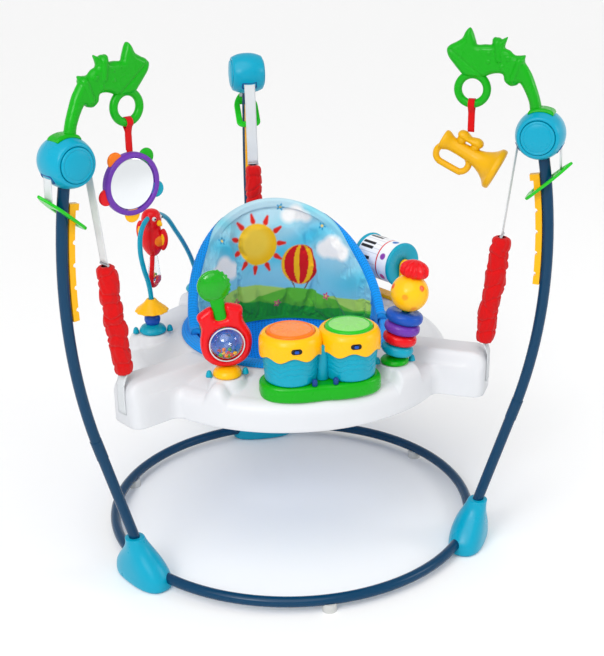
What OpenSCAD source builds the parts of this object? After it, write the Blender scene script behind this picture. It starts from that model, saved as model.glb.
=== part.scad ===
// Baby jumper frame: a floor ring with three posts, strap towers and springs
// that carry a toy tray with a turning seat. Millimetres, +Z up, floor at z = 0.

/* [Steel frame] */
// Radius of the floor ring, to the middle of the tube
ring_r = 345; // [320:1:370]
// Outside diameter of the steel tubes
tube_d = 19; // [17:0.5:21]
// Wall of the steel tubes
tube_wall = 1.5; // [1:0.1:2.5]
// Height of the middle of the floor ring
ring_z = 21; // [19:0.5:26]
// Distance from the floor ring to the post's axis, at the height of the ring
post_step = 2; // [0:0.5:6]
// Outward lean of the straight part of a post, in degrees
post_lean = 16.6; // [15:0.1:18]
// Height at which a post starts to bend inwards
post_bend_z = 285; // [270:1:300]
// Radius of the bend of a post
post_bend_rad = 1000; // [950:5:1100]
// Height of the middle of a strap tower
tower_z = 786; // [760:1:810]

/* [Feet] */
// Half the length of a foot along the floor ring
foot_half_len = 66; // [56:1:76]
// Half the width of a foot across the floor ring
foot_half_w = 33; // [28:1:40]
// Height of the collar of a foot round the post
foot_h = 90; // [80:1:110]
// Wall of a foot round the post
foot_wall = 8; // [6:0.5:12]
// Play between a tube and its socket
socket_play = 0.15; // [0.1:0.05:0.3]
// Diameter of a floor pad
pad_d = 26; // [22:1:32]
// Diameter of a screw head
screw_head_d = 8; // [6:0.5:10]
// Diameter of a screw shank
screw_d = 4; // [3:0.5:5]

/* [Strap towers] */
// Largest radius of a tower
tower_rad = 41; // [38:0.5:46]
// Radius of a tower at its two ends
tower_end_rad = 34; // [31:0.5:36]
// Half the width of a tower
tower_half_w = 32; // [28:0.5:36]
// Radius of the disc that closes a tower's side
cover_rad = 28; // [24:0.5:30]
// Thickness of that disc
cover_t = 5; // [4:0.5:7]
// Width of the strap webbing
strap_w = 22; // [18:0.5:25]
// Thickness of the strap webbing
strap_t = 1.2; // [0.8:0.1:1.6]
// Radius of the bars that the strap runs over
bar_rad = 6; // [5:0.5:7]
// Distance of the bars from the middle of the tower
bar_offset = 27; // [25:0.5:28]

/* [Height adjusters] */
// Height of the leaf on the post
leaf_z = 706; // [690:1:720]
// Tilt of the leaf, outer end up, in degrees
leaf_tilt = 42; // [36:1:46]
// Length of the leaf from the post to its outer tip
leaf_tip = 54; // [48:1:62]
// Length of the leaf from the post to its inner end
leaf_heel = 42; // [40:0.5:48]
// Width of the leaf
leaf_w = 50; // [46:1:58]
// Thickness of the leaf
leaf_t = 5; // [4:0.5:6]
// Clearance of the leaf round the post and the rack
leaf_play = 3; // [2.5:0.1:4]
// Distance from one rack notch to the next
notch_pitch = 38; // [34:1:42]
// Depth of the rack from the post
rack_t = 11; // [9:0.5:12]
// Width of the rack
rack_w = 12; // [10:0.5:14]

/* [Toy arms] */
// Reach of a toy arm from the middle of the tower to its nose
arm_reach = 158; // [140:1:175]
// Rise of a toy arm from the middle of the tower to its crest
arm_rise = 174; // [155:1:190]
// Thickness of a toy arm
arm_t = 20; // [16:0.5:26]
// Radius of the toy ring under the arm's chin, to the middle of its rim
arm_ring_rad = 24.25; // [22:0.25:28]
// Radius of the rim of the toy ring
arm_rim_rad = 6.75; // [5.5:0.25:7.5]

/* [Springs and sleeves] */
// Height of the lower spring eye
anchor_z = 410; // [400:1:420]
// Length of a sleeve
sleeve_len = 196; // [180:1:210]
// Mean outside radius of a sleeve
sleeve_rad = 15.5; // [15:0.25:17]
// Coil radius of a spring
spring_rad = 9.2; // [8:0.1:9.5]
// Wire diameter of a spring
wire_d = 2.6; // [2:0.1:3]
// Turns of a spring
spring_turns = 14; // [10:1:18]

/* [Tray] */
// Radius of the tray
tray_r = 298; // [285:1:310]
// Distance of the tray's middle behind the middle of the floor ring
tray_y = 13; // [5:1:20]
// Height of the lower edge of the tray
tray_z = 314; // [300:1:330]
// Height of the deck round the seat
deck_z = 388; // [382:1:398]
// Drop of the deck from the seat to the rim
deck_drop = 20; // [14:1:26]
// Radius of the rounded rim of the tray
rim_round = 24; // [18:1:30]
// Wall of the tray
tray_wall = 3.5; // [3:0.25:4.5]
// Distance from the middle of the floor ring to the end of a tray arm
arm_end_r = 374; // [366:1:380]
// Half the width of a tray arm
arm_half_w = 38; // [32:1:44]
// Rounding of a tray arm's corners
arm_round = 20; // [14:1:24]
// Radius of the opening for the seat
hole_r = 180; // [170:1:186]

/* [Seat] */
// Width of the seat ring's flange on the deck
flange_w = 18; // [14:0.5:22]
// Height of the seat back above the deck
back_h = 192; // [170:1:210]
// Thickness of the seat back
back_t = 13; // [10:0.5:15]
// Depth of the seat bucket below the deck
bucket_depth = 158; // [130:1:175]
// Thickness of the seat cloth
cloth_t = 4; // [3:0.25:5]
// Radius of a leg opening
leg_r = 44; // [38:1:50]
// Half the distance between the leg openings
leg_x = 58; // [52:1:64]

/* [Drums] */
// Sideways place of the drum unit on the tray
drum_x = 10; // [0:1:20]
// Distance of the drums in front of the middle of the floor ring
drum_y = 231; // [228:1:236]
// Half the distance between the two drums
drum_half_gap = 50; // [48:1:54]
// Radius of a drum at its top
drum_rad = 51; // [46:0.5:52]
// Radius of a drum at its foot
drum_foot_rad = 45; // [40:0.5:47]
// Height of the drums above their base
drum_h = 86; // [76:1:96]
// Height of the top of the drum base above the deck
drum_base_h = 6; // [4:0.5:9]
// Wall of the drums
drum_wall = 2.5; // [2:0.25:3]
// Radius of a drum pad
pad_rad = 41; // [37:0.5:43]
// Travel of a drum pad
pad_travel = 3; // [2:0.5:4]
// Height of the domed drum pad
pad_h = 11; // [9:0.5:14]

/* [Tray toys] */
// Height of the toy seats on the tray above the rim
seat_rise = 22; // [18:0.5:26]
// Thickness of the guitar rattle
guitar_t = 24; // [20:0.5:28]
// Radius of the wide end of the guitar rattle
guitar_rad = 44; // [40:0.5:48]
// Radius of the bead globe
globe_rad = 28; // [25:0.5:30]
// Length of the guitar's neck, to the middle of its head
neck_len = 104; // [94:1:112]
// Radius of the guitar's head
head_rad = 28; // [24:0.5:31]
// Height of one ring of the ring stack
stack_pitch = 20; // [17:0.5:22]
// Mean radius of the rings of the ring stack
stack_rad = 28; // [25:0.5:31]
// Lean of the ring stack, in degrees
stack_lean = 11; // [5:0.5:14]
// Radius of the ball on the ring stack
ball_rad = 33; // [29:0.5:36]
// Radius of the roller
roller_rad = 41; // [37:0.5:43]
// Length of the roller between its end rings
roller_len = 82; // [74:1:90]
// Height of the roller's axle above its seat
roller_h = 76; // [70:1:84]
// Diameter of the arch tube
arch_d = 9; // [7:0.5:10]
// Rise of the arch tube above its seat
arch_rise = 216; // [190:1:225]
// Span of the arch tube from its front foot to its rear foot
arch_span = 232; // [215:1:236]
// Radius of the spinning cone
cone_rad = 31; // [26:0.5:34]

/* [Hanging toys] */
// Length of a hanging toy's strap
hang_len = 40; // [32:1:46]
// Width of a hanging toy's strap
hang_w = 11; // [8:0.5:12]
// Outside radius of the tambourine rim
tamb_rad = 52; // [46:0.5:55]
// Thickness of the tambourine rim
tamb_t = 16; // [12:0.5:20]
// Length of the trumpet
horn_len = 108; // [95:1:118]
// Radius of the trumpet's bell
bell_rad = 36; // [30:0.5:38]

/* [Hidden] */
$fn = 48;
POST_DEG = [210, 330, 90];
overrun = 1;
play = 0.3;
slip = 0.05;
tube_r = tube_d / 2;

// Post: a straight leg, then an arc about the point (bend_cr, bend_cz) of the post's own plane
post_base_r = ring_r + post_step;
bend_r = post_base_r + (post_bend_z - ring_z) * tan(post_lean);
bend_cr = bend_r - post_bend_rad * cos(post_lean);
bend_cz = post_bend_z + post_bend_rad * sin(post_lean);
function post_r(z) = z <= post_bend_z ? post_base_r + (z - ring_z) * tan(post_lean)
    : bend_cr + sqrt(pow(post_bend_rad, 2) - pow(z - bend_cz, 2));
function post_turn(z) = asin((z - bend_cz) / post_bend_rad);
tower_r = post_r(tower_z);
post_top_z = tower_z - bar_rad - tube_wall * 4;
post_foot_z = ring_z - tube_r / 2;

// Floor ring: the tubes stop short of the posts, inside the feet
tube_stop = tube_r + foot_wall;
tube_stop_deg = asin(tube_stop / ring_r);

// Feet
foot_out = foot_half_w / 4;
foot_corner_share = 0.62;
foot_skirt_share = 0.3;
foot_sole_share = 0.9;
screw_t_share = 0.62;
screw_len = ring_z - tube_r;
screw_head_t = screw_d / 2;
pad_saddle = tube_r / 2;

// Towers: the strap comes up outside the post, crosses two bars and leaves on the inner side
bar_z = tower_z + bar_rad / 2;
slot_t = strap_t * 4;
cavity_half_w = strap_w / 2 + strap_t * 2.5;
cavity_floor = bar_z - bar_rad - play;
cavity_roof = bar_z + bar_rad + strap_t * 2.5;
cavity_half = bar_offset + bar_rad + slot_t / 2;
strap_rad = bar_rad + play;
strap_line = bar_offset + strap_rad + strap_t / 2;
spigot_share = 0.34;
spigot_rad = arm_t * spigot_share;
spigot_z_share = 0.55;
spigot_z = tower_z + tower_rad * spigot_z_share;
bar_grip = strap_t * 3;
barrel_share = 0.5;
bow_play = pow(2 * tower_rad, 2) / 8 / post_bend_rad + 2 * socket_play;

// Suspension line, in the post's own plane, from the tray anchor up to the inner bar
hang_top_r = tower_r - strap_line;
anchor_inset_share = 0.4;
anchor_r = arm_end_r - arm_round * anchor_inset_share;
hang_run = [hang_top_r - anchor_r, bar_z - anchor_z];
hang_tilt = atan2(hang_run[0], hang_run[1]);
sleeve_start = play / 2;
sleeve_wall = 2;
yoke_rad = strap_t * 2;
yoke_at = sleeve_start + sleeve_len + yoke_rad + play;
spring_from = wire_d * 1.5;
spring_to = yoke_at - yoke_rad * 4;

// Height adjusters
leaf_r = post_r(leaf_z);
adjust_travel = 2 * notch_pitch;
leaf_low_z = leaf_z - adjust_travel;
leaf_cross = cos(leaf_tilt - post_turn(leaf_z));
leaf_shift = leaf_t * abs(tan(leaf_tilt - post_turn(leaf_z))) / 2;
slot_out = tube_r / leaf_cross + leaf_shift + leaf_play;
slot_in = (tube_r + rack_t) / leaf_cross + leaf_shift + leaf_play;
slot_half_w = tube_r + leaf_play;
rack_top_z = leaf_z + leaf_t;
rack_bottom_z = leaf_low_z - leaf_heel * sin(leaf_tilt) - 2 * notch_pitch;
notch_share = 0.36;
notch_rad = rack_t * notch_share;
hook_t = rack_t * 1.5;
hook_h = rack_t;

// Tray arms and deck
collar_play = 6;
deck_flat_r = hole_r + flange_w + collar_play;
rim_z = deck_z - deck_drop;
toy_z = rim_z + seat_rise;
arm_top_z = deck_z + 2 * tray_wall;
arm_root_r = hole_r;
boss_rad = 33;
anchor_t = 1.6;
anchor_drop_share = 0.75;
anchor_drop = (arm_top_z - tray_z) * anchor_drop_share;

// Seat
ring_play = 1;
flange_t = 7;
ring_top_z = deck_z + play + flange_t;
ring_wall = 6;
back_out_r = hole_r + ring_wall - ring_play;
back_span = 97;
back_curve = 0.93;
back_steps = 32;
back_z = ring_top_z + play;
back_low_share = 1.6;
back_low = flange_t * back_low_share;
bucket_share = 0.66;

// Drums
drum_top_z = deck_z + drum_base_h + drum_h;
drum_foot_z = deck_z + drum_base_h;
collar_h_share = 0.4;
collar_h = drum_h * collar_h_share;
collar_t = 3;
base_margin = 5;
base_waist_share = 0.95;
peg_share = 0.93;
scallop_count = 10;
scallop_share = 0.24;
scallop_rad = collar_h * scallop_share;
pad_seat_share = 0.45;
pad_seat = pad_h * pad_seat_share;
stem_share = 0.2;
stem_rad = pad_rad * stem_share;
switch_w = 15;
switch_h = 6.5;
switch_knob_w = 6;
switch_z_share = 0.52;
switch_z = drum_top_z - collar_h * switch_z_share;
cell_d = 14.5;
cell_len = 50.5;
speaker_rad = 20;
speaker_t = 10;
cone_mouth_share = 0.8;
door_t = 2;
peg_rad = 6;

// Toy places on the tray, from the middle of the floor ring
guitar_at = [-143, -188];
stack_at = [150, -196];
arch_at = [-250, 40];
roller_at = [219, 131];
roller_turn = -61;
arch_turn = 62;

// Guitar rattle
dome_h = 17;
dome_rad = 25;
spindle_rad = 5;
guitar_z = toy_z + dome_h + play;
globe_share = 0.98;
globe_z = guitar_z + guitar_rad * globe_share;
globe_wall = 1.5;
pivot_rad = 2;
bead_rad = 3.4;
neck_r = 13;
neck_foot_share = 0.75;
neck_lean = 10;
neck_low = globe_rad + 2 * play;
head_t_share = 0.8;
waist_share = 0.76;
horn_z_share = 2.03;
horn_rad_share = 0.6;

// Ring stack, measured along its leaning axis from the toy seat
stack_base_h = 16;
base_dome_share = 0.78;
shaft_rad = 6;
stack_bulge_shares = [0.93, 0.99, 1.05, 1.1];
stack_colours = ["#16c3c9", "#e5121c", "#7a3fa8", "#1552b8"];
ring_gap = 0.4;
stack_top = stack_base_h + len(stack_bulge_shares) * stack_pitch;

// Roller
end_ring_w = 9;
end_ring_lip = 2.5;
end_ring_rad = roller_rad + end_ring_lip;
roller_wall = 2.5;
axle_rad = 4;
bracket_t = 7;
bracket_half_w = 13;
roller_half = roller_len / 2 + end_ring_w;

// Arch: shares of its span and rise, in its own upright plane
arch_shares = [[0, 0], [0, 0.12], [0, 0.3], [-0.035, 0.45], [-0.105, 0.6], [-0.15, 0.76], [-0.13, 0.9],
    [-0.04, 0.978], [0.09, 1], [0.22, 0.978], [0.4, 0.88], [0.56, 0.72], [0.72, 0.55], [0.86, 0.37],
    [0.955, 0.2], [1, 0.06], [1, 0]];
arch_steps = 3;
arch_lift = 2;
arch_low_z = toy_z + arch_lift;
cone_lift = 42;
cone_z = toy_z + cone_lift;
cone_h = 24;
spin_ball_rad = 15;
bird_place = 8;
wing_rad = 12;
bird_len = 76;
bird_rad = 21;
tail_len = 66;
tail_rad = 16;

// Hanging toys
arm_ring_shares = [0.734, 0.391];
arm_ring_at = [tower_r - arm_reach * arm_ring_shares[0], tower_z + arm_rise * arm_ring_shares[1]];
swing_z = arm_ring_at[1] - arm_ring_rad;
loop_play = 1;
loop_in = arm_rim_rad + loop_play;
loop_t = 1.5;
toy_top_z = swing_z - loop_in - hang_len;
tamb_z = toy_top_z - play - tamb_rad;
tamb_rim_w = 9;
lobe_rad = 14;
lobe_t = 7;
lobe_first = 128;
lobe_colours = ["#13b317", "#16b7d2", "#f6c314", "#ea1630", "#f77a12"];
horn_tilt = -27;
horn_rad = 11;
mouth_rad = 15;
valve_rise = 31;
valve_share = 0.75;
valve_cap_share = 0.7;
valve_spread_share = 1.6;
horn_drop = (valve_rise * valve_share + horn_rad * valve_cap_share) / cos(horn_tilt)
    + hang_w / 2 * tan(abs(horn_tilt)) + play;
loop_rad = 15;
loop_len = 30;
loop_wire = 5;

// The origin lies under the middle of the box round the whole object
leaf_reach = leaf_r + leaf_tip * cos(leaf_tilt) + leaf_t / 2 * sin(leaf_tilt);
front_reach = ring_r + max(tube_r, pad_d / 2);
origin_y = (leaf_reach - front_reach) / 2;

// Placing helpers

module placed() {
    translate([0, -origin_y, 0]) children();
}

// One post's own plane: X points away from the middle, Y along the ring
module at_post(i) {
    placed() rotate([0, 0, POST_DEG[i]]) children();
}

module at_all_posts() {
    for (i = [0 : len(POST_DEG) - 1]) at_post(i) children();
}

module at_tower() {
    translate([tower_r, 0, tower_z]) children();
}

// Along the suspension line, with Z from the tray anchor to the tower
module on_hang_line() {
    translate([anchor_r, 0, anchor_z]) rotate([0, hang_tilt, 0]) children();
}

// On the tray, at the height of the toy seats
module on_tray(spot, turn = 0) {
    placed() translate([spot[0], spot[1], toy_z]) rotate([0, 0, turn]) children();
}

module at_seat_axis() {
    placed() translate([0, tray_y, 0]) children();
}

module at_drum(side) {
    placed() translate([drum_x + side * drum_half_gap, -drum_y, 0]) children();
}

// A flat outline in X and Z, with its thickness along Y
module upright(t) {
    rotate([90, 0, 0]) linear_extrude(height = t, center = true) children();
}

// Surfaces that follow rings of points, closed at both ends
module loft(rings) {
    n = len(rings);
    s = len(rings[0]);
    last = (n - 1) * s;
    sides = [for (i = [0 : n - 2], j = [0 : s - 1]) let (k = (j + 1) % s)
        each [[i * s + j, (i + 1) * s + j, (i + 1) * s + k], [i * s + j, (i + 1) * s + k, i * s + k]]];
    ends = [for (j = [1 : s - 2]) each [[0, j, j + 1], [last, last + j + 1, last + j]]];
    polyhedron([for (r = rings) each r], concat(sides, ends));
}

function unit(v) = v / norm(v);

// Rings of a round tube along points; side is a direction that the tube never runs along
function tube_rings(points, rad, flats, side) = [for (i = [0 : len(points) - 1])
    let (t = unit(points[min(i + 1, len(points) - 1)] - points[max(i - 1, 0)]),
        u = unit(cross(side, t)), w = cross(t, u))
    [for (j = [0 : flats - 1]) let (a = 360 * j / flats) points[i] + rad * (cos(a) * u + sin(a) * w)]];

// A smooth curve through points, with steps points to each stretch
function curve_point(p, q, r, s, t) = 0.5 * (2 * q + (r - p) * t + (2 * p - 5 * q + 4 * r - s) * t * t
    + (3 * q - p - 3 * r + s) * t * t * t);
function smooth(points, steps) = let (n = len(points)) concat(
    [for (i = [0 : n - 2], k = [0 : steps - 1]) curve_point(points[max(i - 1, 0)], points[i], points[i + 1],
        points[min(i + 2, n - 1)], k / steps)], [points[n - 1]]);

// The same for a closed outline
function smooth_loop(points, steps) = let (n = len(points)) [for (i = [0 : n - 1], k = [0 : steps - 1])
    curve_point(points[(i + n - 1) % n], points[i], points[(i + 1) % n], points[(i + 2) % n], k / steps)];

// Points of an arc from angle a to angle b
function arc(centre, rad, a, b, steps = 8) = [for (k = [0 : steps])
    let (t = a + (b - a) * k / steps) centre + rad * [cos(t), sin(t)]];

// Floor ring and posts

module tube_section(d, wall) {
    difference() {
        circle(d = d);
        circle(d = d - 2 * wall);
    }
}

module ring_arc(i, spare_deg) {
    from = POST_DEG[i] + tube_stop_deg - spare_deg;
    rotate([0, 0, from]) rotate_extrude(angle = 120 - 2 * (tube_stop_deg - spare_deg), $fn = 96)
        translate([ring_r, 0]) children();
}

module base_tubes() {
    color("#0b4a78") placed() translate([0, 0, ring_z])
        for (i = [0 : 2]) ring_arc(i, 0) tube_section(tube_d, tube_wall);
}

module post_leg(from, to, rad) {
    translate([post_r(from), 0, from]) rotate([0, post_lean, 0])
        cylinder(r = rad, h = (to - from) / cos(post_lean));
}

module post_bend(from, to, rad) {
    translate([bend_cr, 0, bend_cz]) rotate([90, 0, 0]) rotate([0, 0, post_turn(from)])
        rotate_extrude(angle = post_turn(to) - post_turn(from), $fn = 96)
        translate([post_bend_rad, 0]) circle(r = rad);
}

module post(i) {
    bore = tube_r - tube_wall;
    color("#0b4a78") at_post(i) difference() {
        union() {
            post_leg(post_foot_z, post_bend_z, tube_r);
            post_bend(post_bend_z, post_top_z, tube_r);
            post_leg(post_bend_z - tube_d, post_bend_z + tube_d, tube_r + tube_wall / 2);
        }
        post_leg(post_foot_z - overrun, post_bend_z - tube_r, bore);
        post_bend(post_bend_z + tube_r, post_top_z + overrun, bore);
    }
}

module post_left() { post(0); }
module post_right() { post(1); }
module post_back() { post(2); }

// Feet, pads and screws

module foot_outline(share) {
    corner = foot_half_w * foot_corner_share * share;
    for (side = [-1, 1]) translate([0, side * (foot_half_len * share - corner)]) circle(r = corner, $fn = 32);
    translate([foot_out, 0]) circle(r = foot_half_w * share, $fn = 32);
}

module foot_body() {
    skirt = foot_h * foot_skirt_share;
    collar_r = post_r(foot_h) - ring_r;
    hull() {
        linear_extrude(height = skirt / 2) foot_outline(foot_sole_share);
        translate([0, 0, skirt / 4]) linear_extrude(height = skirt / 2) foot_outline(1);
        translate([collar_r, 0, foot_h]) rotate([0, post_lean, 0])
            translate([0, 0, -foot_wall]) cylinder(r = tube_r + foot_wall, h = foot_wall / 2, $fn = 32);
        translate([collar_r, 0, foot_h]) rotate([0, post_lean, 0])
            translate([0, 0, -foot_wall]) cylinder(r = tube_r + foot_wall / 2, h = foot_wall, $fn = 32);
    }
}

module screw_places() {
    for (side = [-1, 1]) translate([ring_r, side * foot_half_len * screw_t_share, 0]) children();
}

module feet() {
    socket_deg = asin(socket_play / ring_r);
    color("#12aede") difference() {
        at_all_posts() translate([ring_r, 0, 0]) foot_body();
        placed() translate([0, 0, ring_z]) for (i = [0 : 2]) ring_arc(i, socket_deg)
            circle(d = tube_d + 2 * socket_play);
        at_all_posts() translate([post_r(post_foot_z), 0, post_foot_z]) rotate([0, post_lean, 0])
            translate([0, 0, -socket_play]) cylinder(d = tube_d + 2 * socket_play, h = 2 * foot_h);
        at_all_posts() screw_places() {
            translate([0, 0, -overrun]) cylinder(d = screw_d + 2 * socket_play, h = screw_len + overrun);
            translate([0, 0, -overrun]) cylinder(d = screw_head_d + 2 * play, h = overrun + 2 * screw_head_t);
        }
    }
}

module frame_screws() {
    color("#b9bcc0") at_all_posts() screw_places() {
        translate([0, 0, screw_head_t]) cylinder(d = screw_head_d, h = screw_head_t);
        translate([0, 0, screw_head_t]) cylinder(d = screw_d, h = screw_len - 2 * screw_head_t);
    }
}

module floor_pads() {
    color("#d8d9d6") placed() difference() {
        for (deg = POST_DEG) rotate([0, 0, deg + 60]) translate([ring_r, 0, 0])
            cylinder(d = pad_d, h = ring_z - tube_r + pad_saddle);
        translate([0, 0, ring_z]) rotate_extrude($fn = 96) translate([ring_r, 0])
            circle(d = tube_d + 2 * socket_play);
    }
}

// Strap towers

// A barrel about the local Y axis: a drum with a cone at each end
module barrel(rad, end_rad, half_w) {
    rotate([90, 0, 0]) rotate([0, 0, 45]) rotate_extrude() polygon([[0, -half_w], [end_rad, -half_w],
        [rad, -half_w * barrel_share], [rad, half_w * barrel_share], [end_rad, half_w], [0, half_w]]);
}

module tower_barrel() {
    at_tower() barrel(tower_rad, tower_end_rad, tower_half_w);
}

module along_ring(rad, half_w) {
    rotate([90, 0, 0]) rotate([0, 0, 45]) cylinder(r = rad, h = 2 * half_w, center = true);
}

// The slots leave room on their outer side, where the strap leans away on its way down
module strap_slot(side) {
    lean = tower_rad / 2 * tan(hang_tilt);
    translate([tower_r + side * (strap_line + lean / 2) - (slot_t + lean) / 2, -cavity_half_w,
        tower_z - tower_rad - overrun]) cube([slot_t + lean, 2 * cavity_half_w, tower_rad + overrun + bar_rad]);
}

module tower() {
    difference() {
        tower_barrel();
        translate([tower_r - cavity_half, -cavity_half_w, cavity_floor])
            cube([2 * cavity_half, 2 * cavity_half_w, cavity_roof - cavity_floor]);
        for (side = [-1, 1]) {
            strap_slot(side);
            translate([tower_r + side * bar_offset, 0, bar_z])
                along_ring(bar_rad + slip, cavity_half_w + bar_grip);
            at_tower() translate([0, side * (tower_half_w + overrun), 0])
                along_ring(cover_rad + socket_play, cover_t / 2 + overrun);
        }
        post_socket();
        translate([tower_r, 0, spigot_z - socket_play])
            cylinder(r = spigot_rad + socket_play, h = tower_rad);
    }
}

// A straight bore that the last, nearly straight stretch of the post fits in
module post_socket() {
    low = [post_r(tower_z - 2 * tower_rad), tower_z - 2 * tower_rad];
    run = [post_r(post_top_z), post_top_z] - low;
    translate([low[0], 0, low[1]]) rotate([0, atan2(run[0], run[1]), 0])
        cylinder(r = tube_r + bow_play, h = norm(run) + socket_play);
}

module towers() {
    color("#12aede") at_all_posts() tower();
}

module tower_covers() {
    crown = cover_t / 2;
    color("#1fb4e2") at_all_posts() at_tower() for (side = [-1, 1])
        translate([0, side * (tower_half_w - cover_t / 2), 0]) rotate([-90 * side, 0, 0])
            rotate_extrude() polygon([[0, 0], [cover_rad, 0], [cover_rad, cover_t],
                [cover_rad - crown, cover_t + crown / 2], [0, cover_t + crown]]);
}

module strap_bars() {
    color("#c4c7cb") at_all_posts() for (side = [-1, 1])
        translate([tower_r + side * bar_offset, 0, bar_z])
        along_ring(bar_rad, cavity_half_w + bar_grip - play);
}

// Straps: outer leg from the leaf, over both bars, inner leg to the yoke
module strap_leg(from, to) {
    run = to - from;
    translate([from[0], 0, from[1]]) rotate([0, atan2(run[0], run[1]), 0])
        translate([-strap_t / 2, -strap_w / 2, 0]) cube([strap_t, strap_w, norm(run)]);
}

module strap_corner(side) {
    translate([tower_r + side * bar_offset, 0, bar_z]) rotate([90, 0, 0])
        rotate([0, 0, side < 0 ? 90 : 0]) rotate_extrude(angle = 90) translate([strap_rad, -strap_w / 2])
        square([strap_t, strap_w]);
}

function on_hang(d) = [anchor_r + d * sin(hang_tilt), anchor_z + d * cos(hang_tilt)];
leaf_strap_share = 0.35;
leaf_strap_at = slot_out + (leaf_tip - slot_out) * leaf_strap_share;
leaf_strap_r = leaf_r + leaf_strap_at * cos(leaf_tilt);
leaf_strap_z = leaf_z + leaf_strap_at * sin(leaf_tilt) + leaf_t / 2 / cos(leaf_tilt);

module straps() {
    color("#eceff2") at_all_posts() {
        strap_leg(on_hang(yoke_at + yoke_rad + play), [hang_top_r, bar_z]);
        strap_leg([leaf_strap_r, leaf_strap_z + strap_t], [tower_r + strap_line, bar_z]);
        strap_leg([tower_r - bar_offset, bar_z + strap_rad + strap_t / 2],
            [tower_r + bar_offset, bar_z + strap_rad + strap_t / 2]);
        for (side = [-1, 1]) strap_corner(side);
    }
}

// Height adjusters

module height_racks() {
    back = post_bend_rad - tube_r - socket_play;
    face = post_bend_rad - tube_r - rack_t;
    low = post_turn(rack_bottom_z);
    high = post_turn(rack_top_z);
    top = high + asin(hook_h / post_bend_rad);
    centre = [bend_cr, bend_cz];
    color("#f3b714") at_all_posts() upright(rack_w) difference() {
        polygon(concat(arc(centre, back, low, top, 12), arc(centre, face + rack_t - hook_t, top, high, 2),
            arc(centre, face, high, low, 12)));
        for (k = [1 : 4]) let (a = post_turn(leaf_z - leaf_heel * sin(leaf_tilt) - (k - 0.5) * notch_pitch))
            translate(centre + face * [cos(a), sin(a)]) circle(r = notch_rad, $fn = 16);
    }
}

// Leaf plate, with X along its slope from the post to the tip
module leaf_outline() {
    half = leaf_w / 2;
    corner = half / 2;
    belly_x = slot_out / 2;
    tip = leaf_tip - belly_x;
    polygon(concat(arc([corner - leaf_heel, half - corner], corner, 180, 90, 6),
        [for (k = [0 : 6]) let (t = k / 6) [belly_x + tip * t, half * (1 - t * t)]],
        [for (k = [5 : -1 : 0]) let (t = k / 6) [belly_x + tip * t, -half * (1 - t * t)]],
        arc([corner - leaf_heel, corner - half], corner, 270, 180, 6)));
}

module leaf(i) {
    color("#1fb43a") at_post(i) translate([leaf_r, 0, leaf_z]) rotate([0, -leaf_tilt, 0]) difference() {
        translate([0, 0, -leaf_t / 2]) linear_extrude(height = leaf_t) leaf_outline();
        translate([-slot_in, -slot_half_w, -leaf_t]) cube([slot_in + slot_out, 2 * slot_half_w, 2 * leaf_t]);
    }
}

module leaf_left() { leaf(0); }
module leaf_right() { leaf(1); }
module leaf_back() { leaf(2); }

// Toy arms: a climbing lizard in outline, its tail on the tower and a toy ring under its chin

arm_shares = [[0.002, 0.17], [0.024, 0.323], [0.068, 0.438], [0.12, 0.552], [0.166, 0.62], [0.203, 0.672],
    [0.198, 0.728], [0.25, 0.726], [0.308, 0.728], [0.359, 0.767], [0.412, 0.796], [0.388, 0.886], [0.417, 0.882],
    [0.455, 0.869], [0.515, 0.886], [0.544, 0.867], [0.554, 0.819], [0.62, 0.816], [0.698, 0.811],
    [0.716, 0.846], [0.748, 0.925], [0.782, 0.966], [0.826, 0.93], [0.86, 0.868], [0.92, 0.83], [0.988, 0.797],
    [1.018, 0.757], [0.998, 0.69], [0.939, 0.622], [0.88, 0.56], [0.83, 0.515], [0.762, 0.502],
    [0.682, 0.502], [0.617, 0.508], [0.567, 0.532], [0.489, 0.551], [0.422, 0.541], [0.401, 0.481],
    [0.341, 0.44], [0.277, 0.448], [0.239, 0.467], [0.182, 0.386], [0.138, 0.294], [0.11, 0.15]];
arm_steps = 3;
arm_relief = 4;
front_leg_shares = [[0.49, 0.835], [0.465, 0.68]];
hind_leg_shares = [[0.255, 0.675], [0.315, 0.505]];
leg_rad = 8.5;
cap_share = 1.15;

function arm_point(share) = [tower_r - arm_reach * share[0], tower_z + arm_rise * share[1]];

module capsule(from, to, rad) {
    turn = atan2(to[1] - from[1], to[0] - from[0]);
    polygon(concat(arc(to, rad, turn - 90, turn + 90), arc(from, rad, turn + 90, turn + 270)));
}

module arm_leg(shares) {
    upright(arm_t + arm_relief) capsule(arm_point(shares[0]), arm_point(shares[1]), leg_rad);
}

module arm_cap() {
    half = arm_t * cap_share;
    intersection() {
        at_tower() along_ring(tower_rad + arm_relief, tower_half_w * barrel_share);
        translate([tower_r - half, -tower_half_w, tower_z]) cube([2 * half, 2 * tower_half_w, 2 * tower_rad]);
    }
}

module toy_arm(i) {
    color("#12b512") at_post(i) {
        difference() {
            union() {
                upright(arm_t) polygon(smooth_loop([for (share = arm_shares) arm_point(share)], arm_steps));
                arm_leg(front_leg_shares);
                arm_leg(hind_leg_shares);
                arm_cap();
            }
            at_tower() along_ring(tower_rad + socket_play, tower_half_w);
        }
        translate([arm_ring_at[0], 0, arm_ring_at[1]]) rotate([90, 0, 0]) rotate_extrude()
            translate([arm_ring_rad, 0]) circle(r = arm_rim_rad);
        translate([tower_r, 0, spigot_z])
            cylinder(r = spigot_rad, h = tower_z + tower_rad + arm_relief - spigot_z);
    }
}

module arm_left() { toy_arm(0); }
module arm_right() { toy_arm(1); }

// Suspension: yoke, coil spring and gathered sleeve on each line

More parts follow.
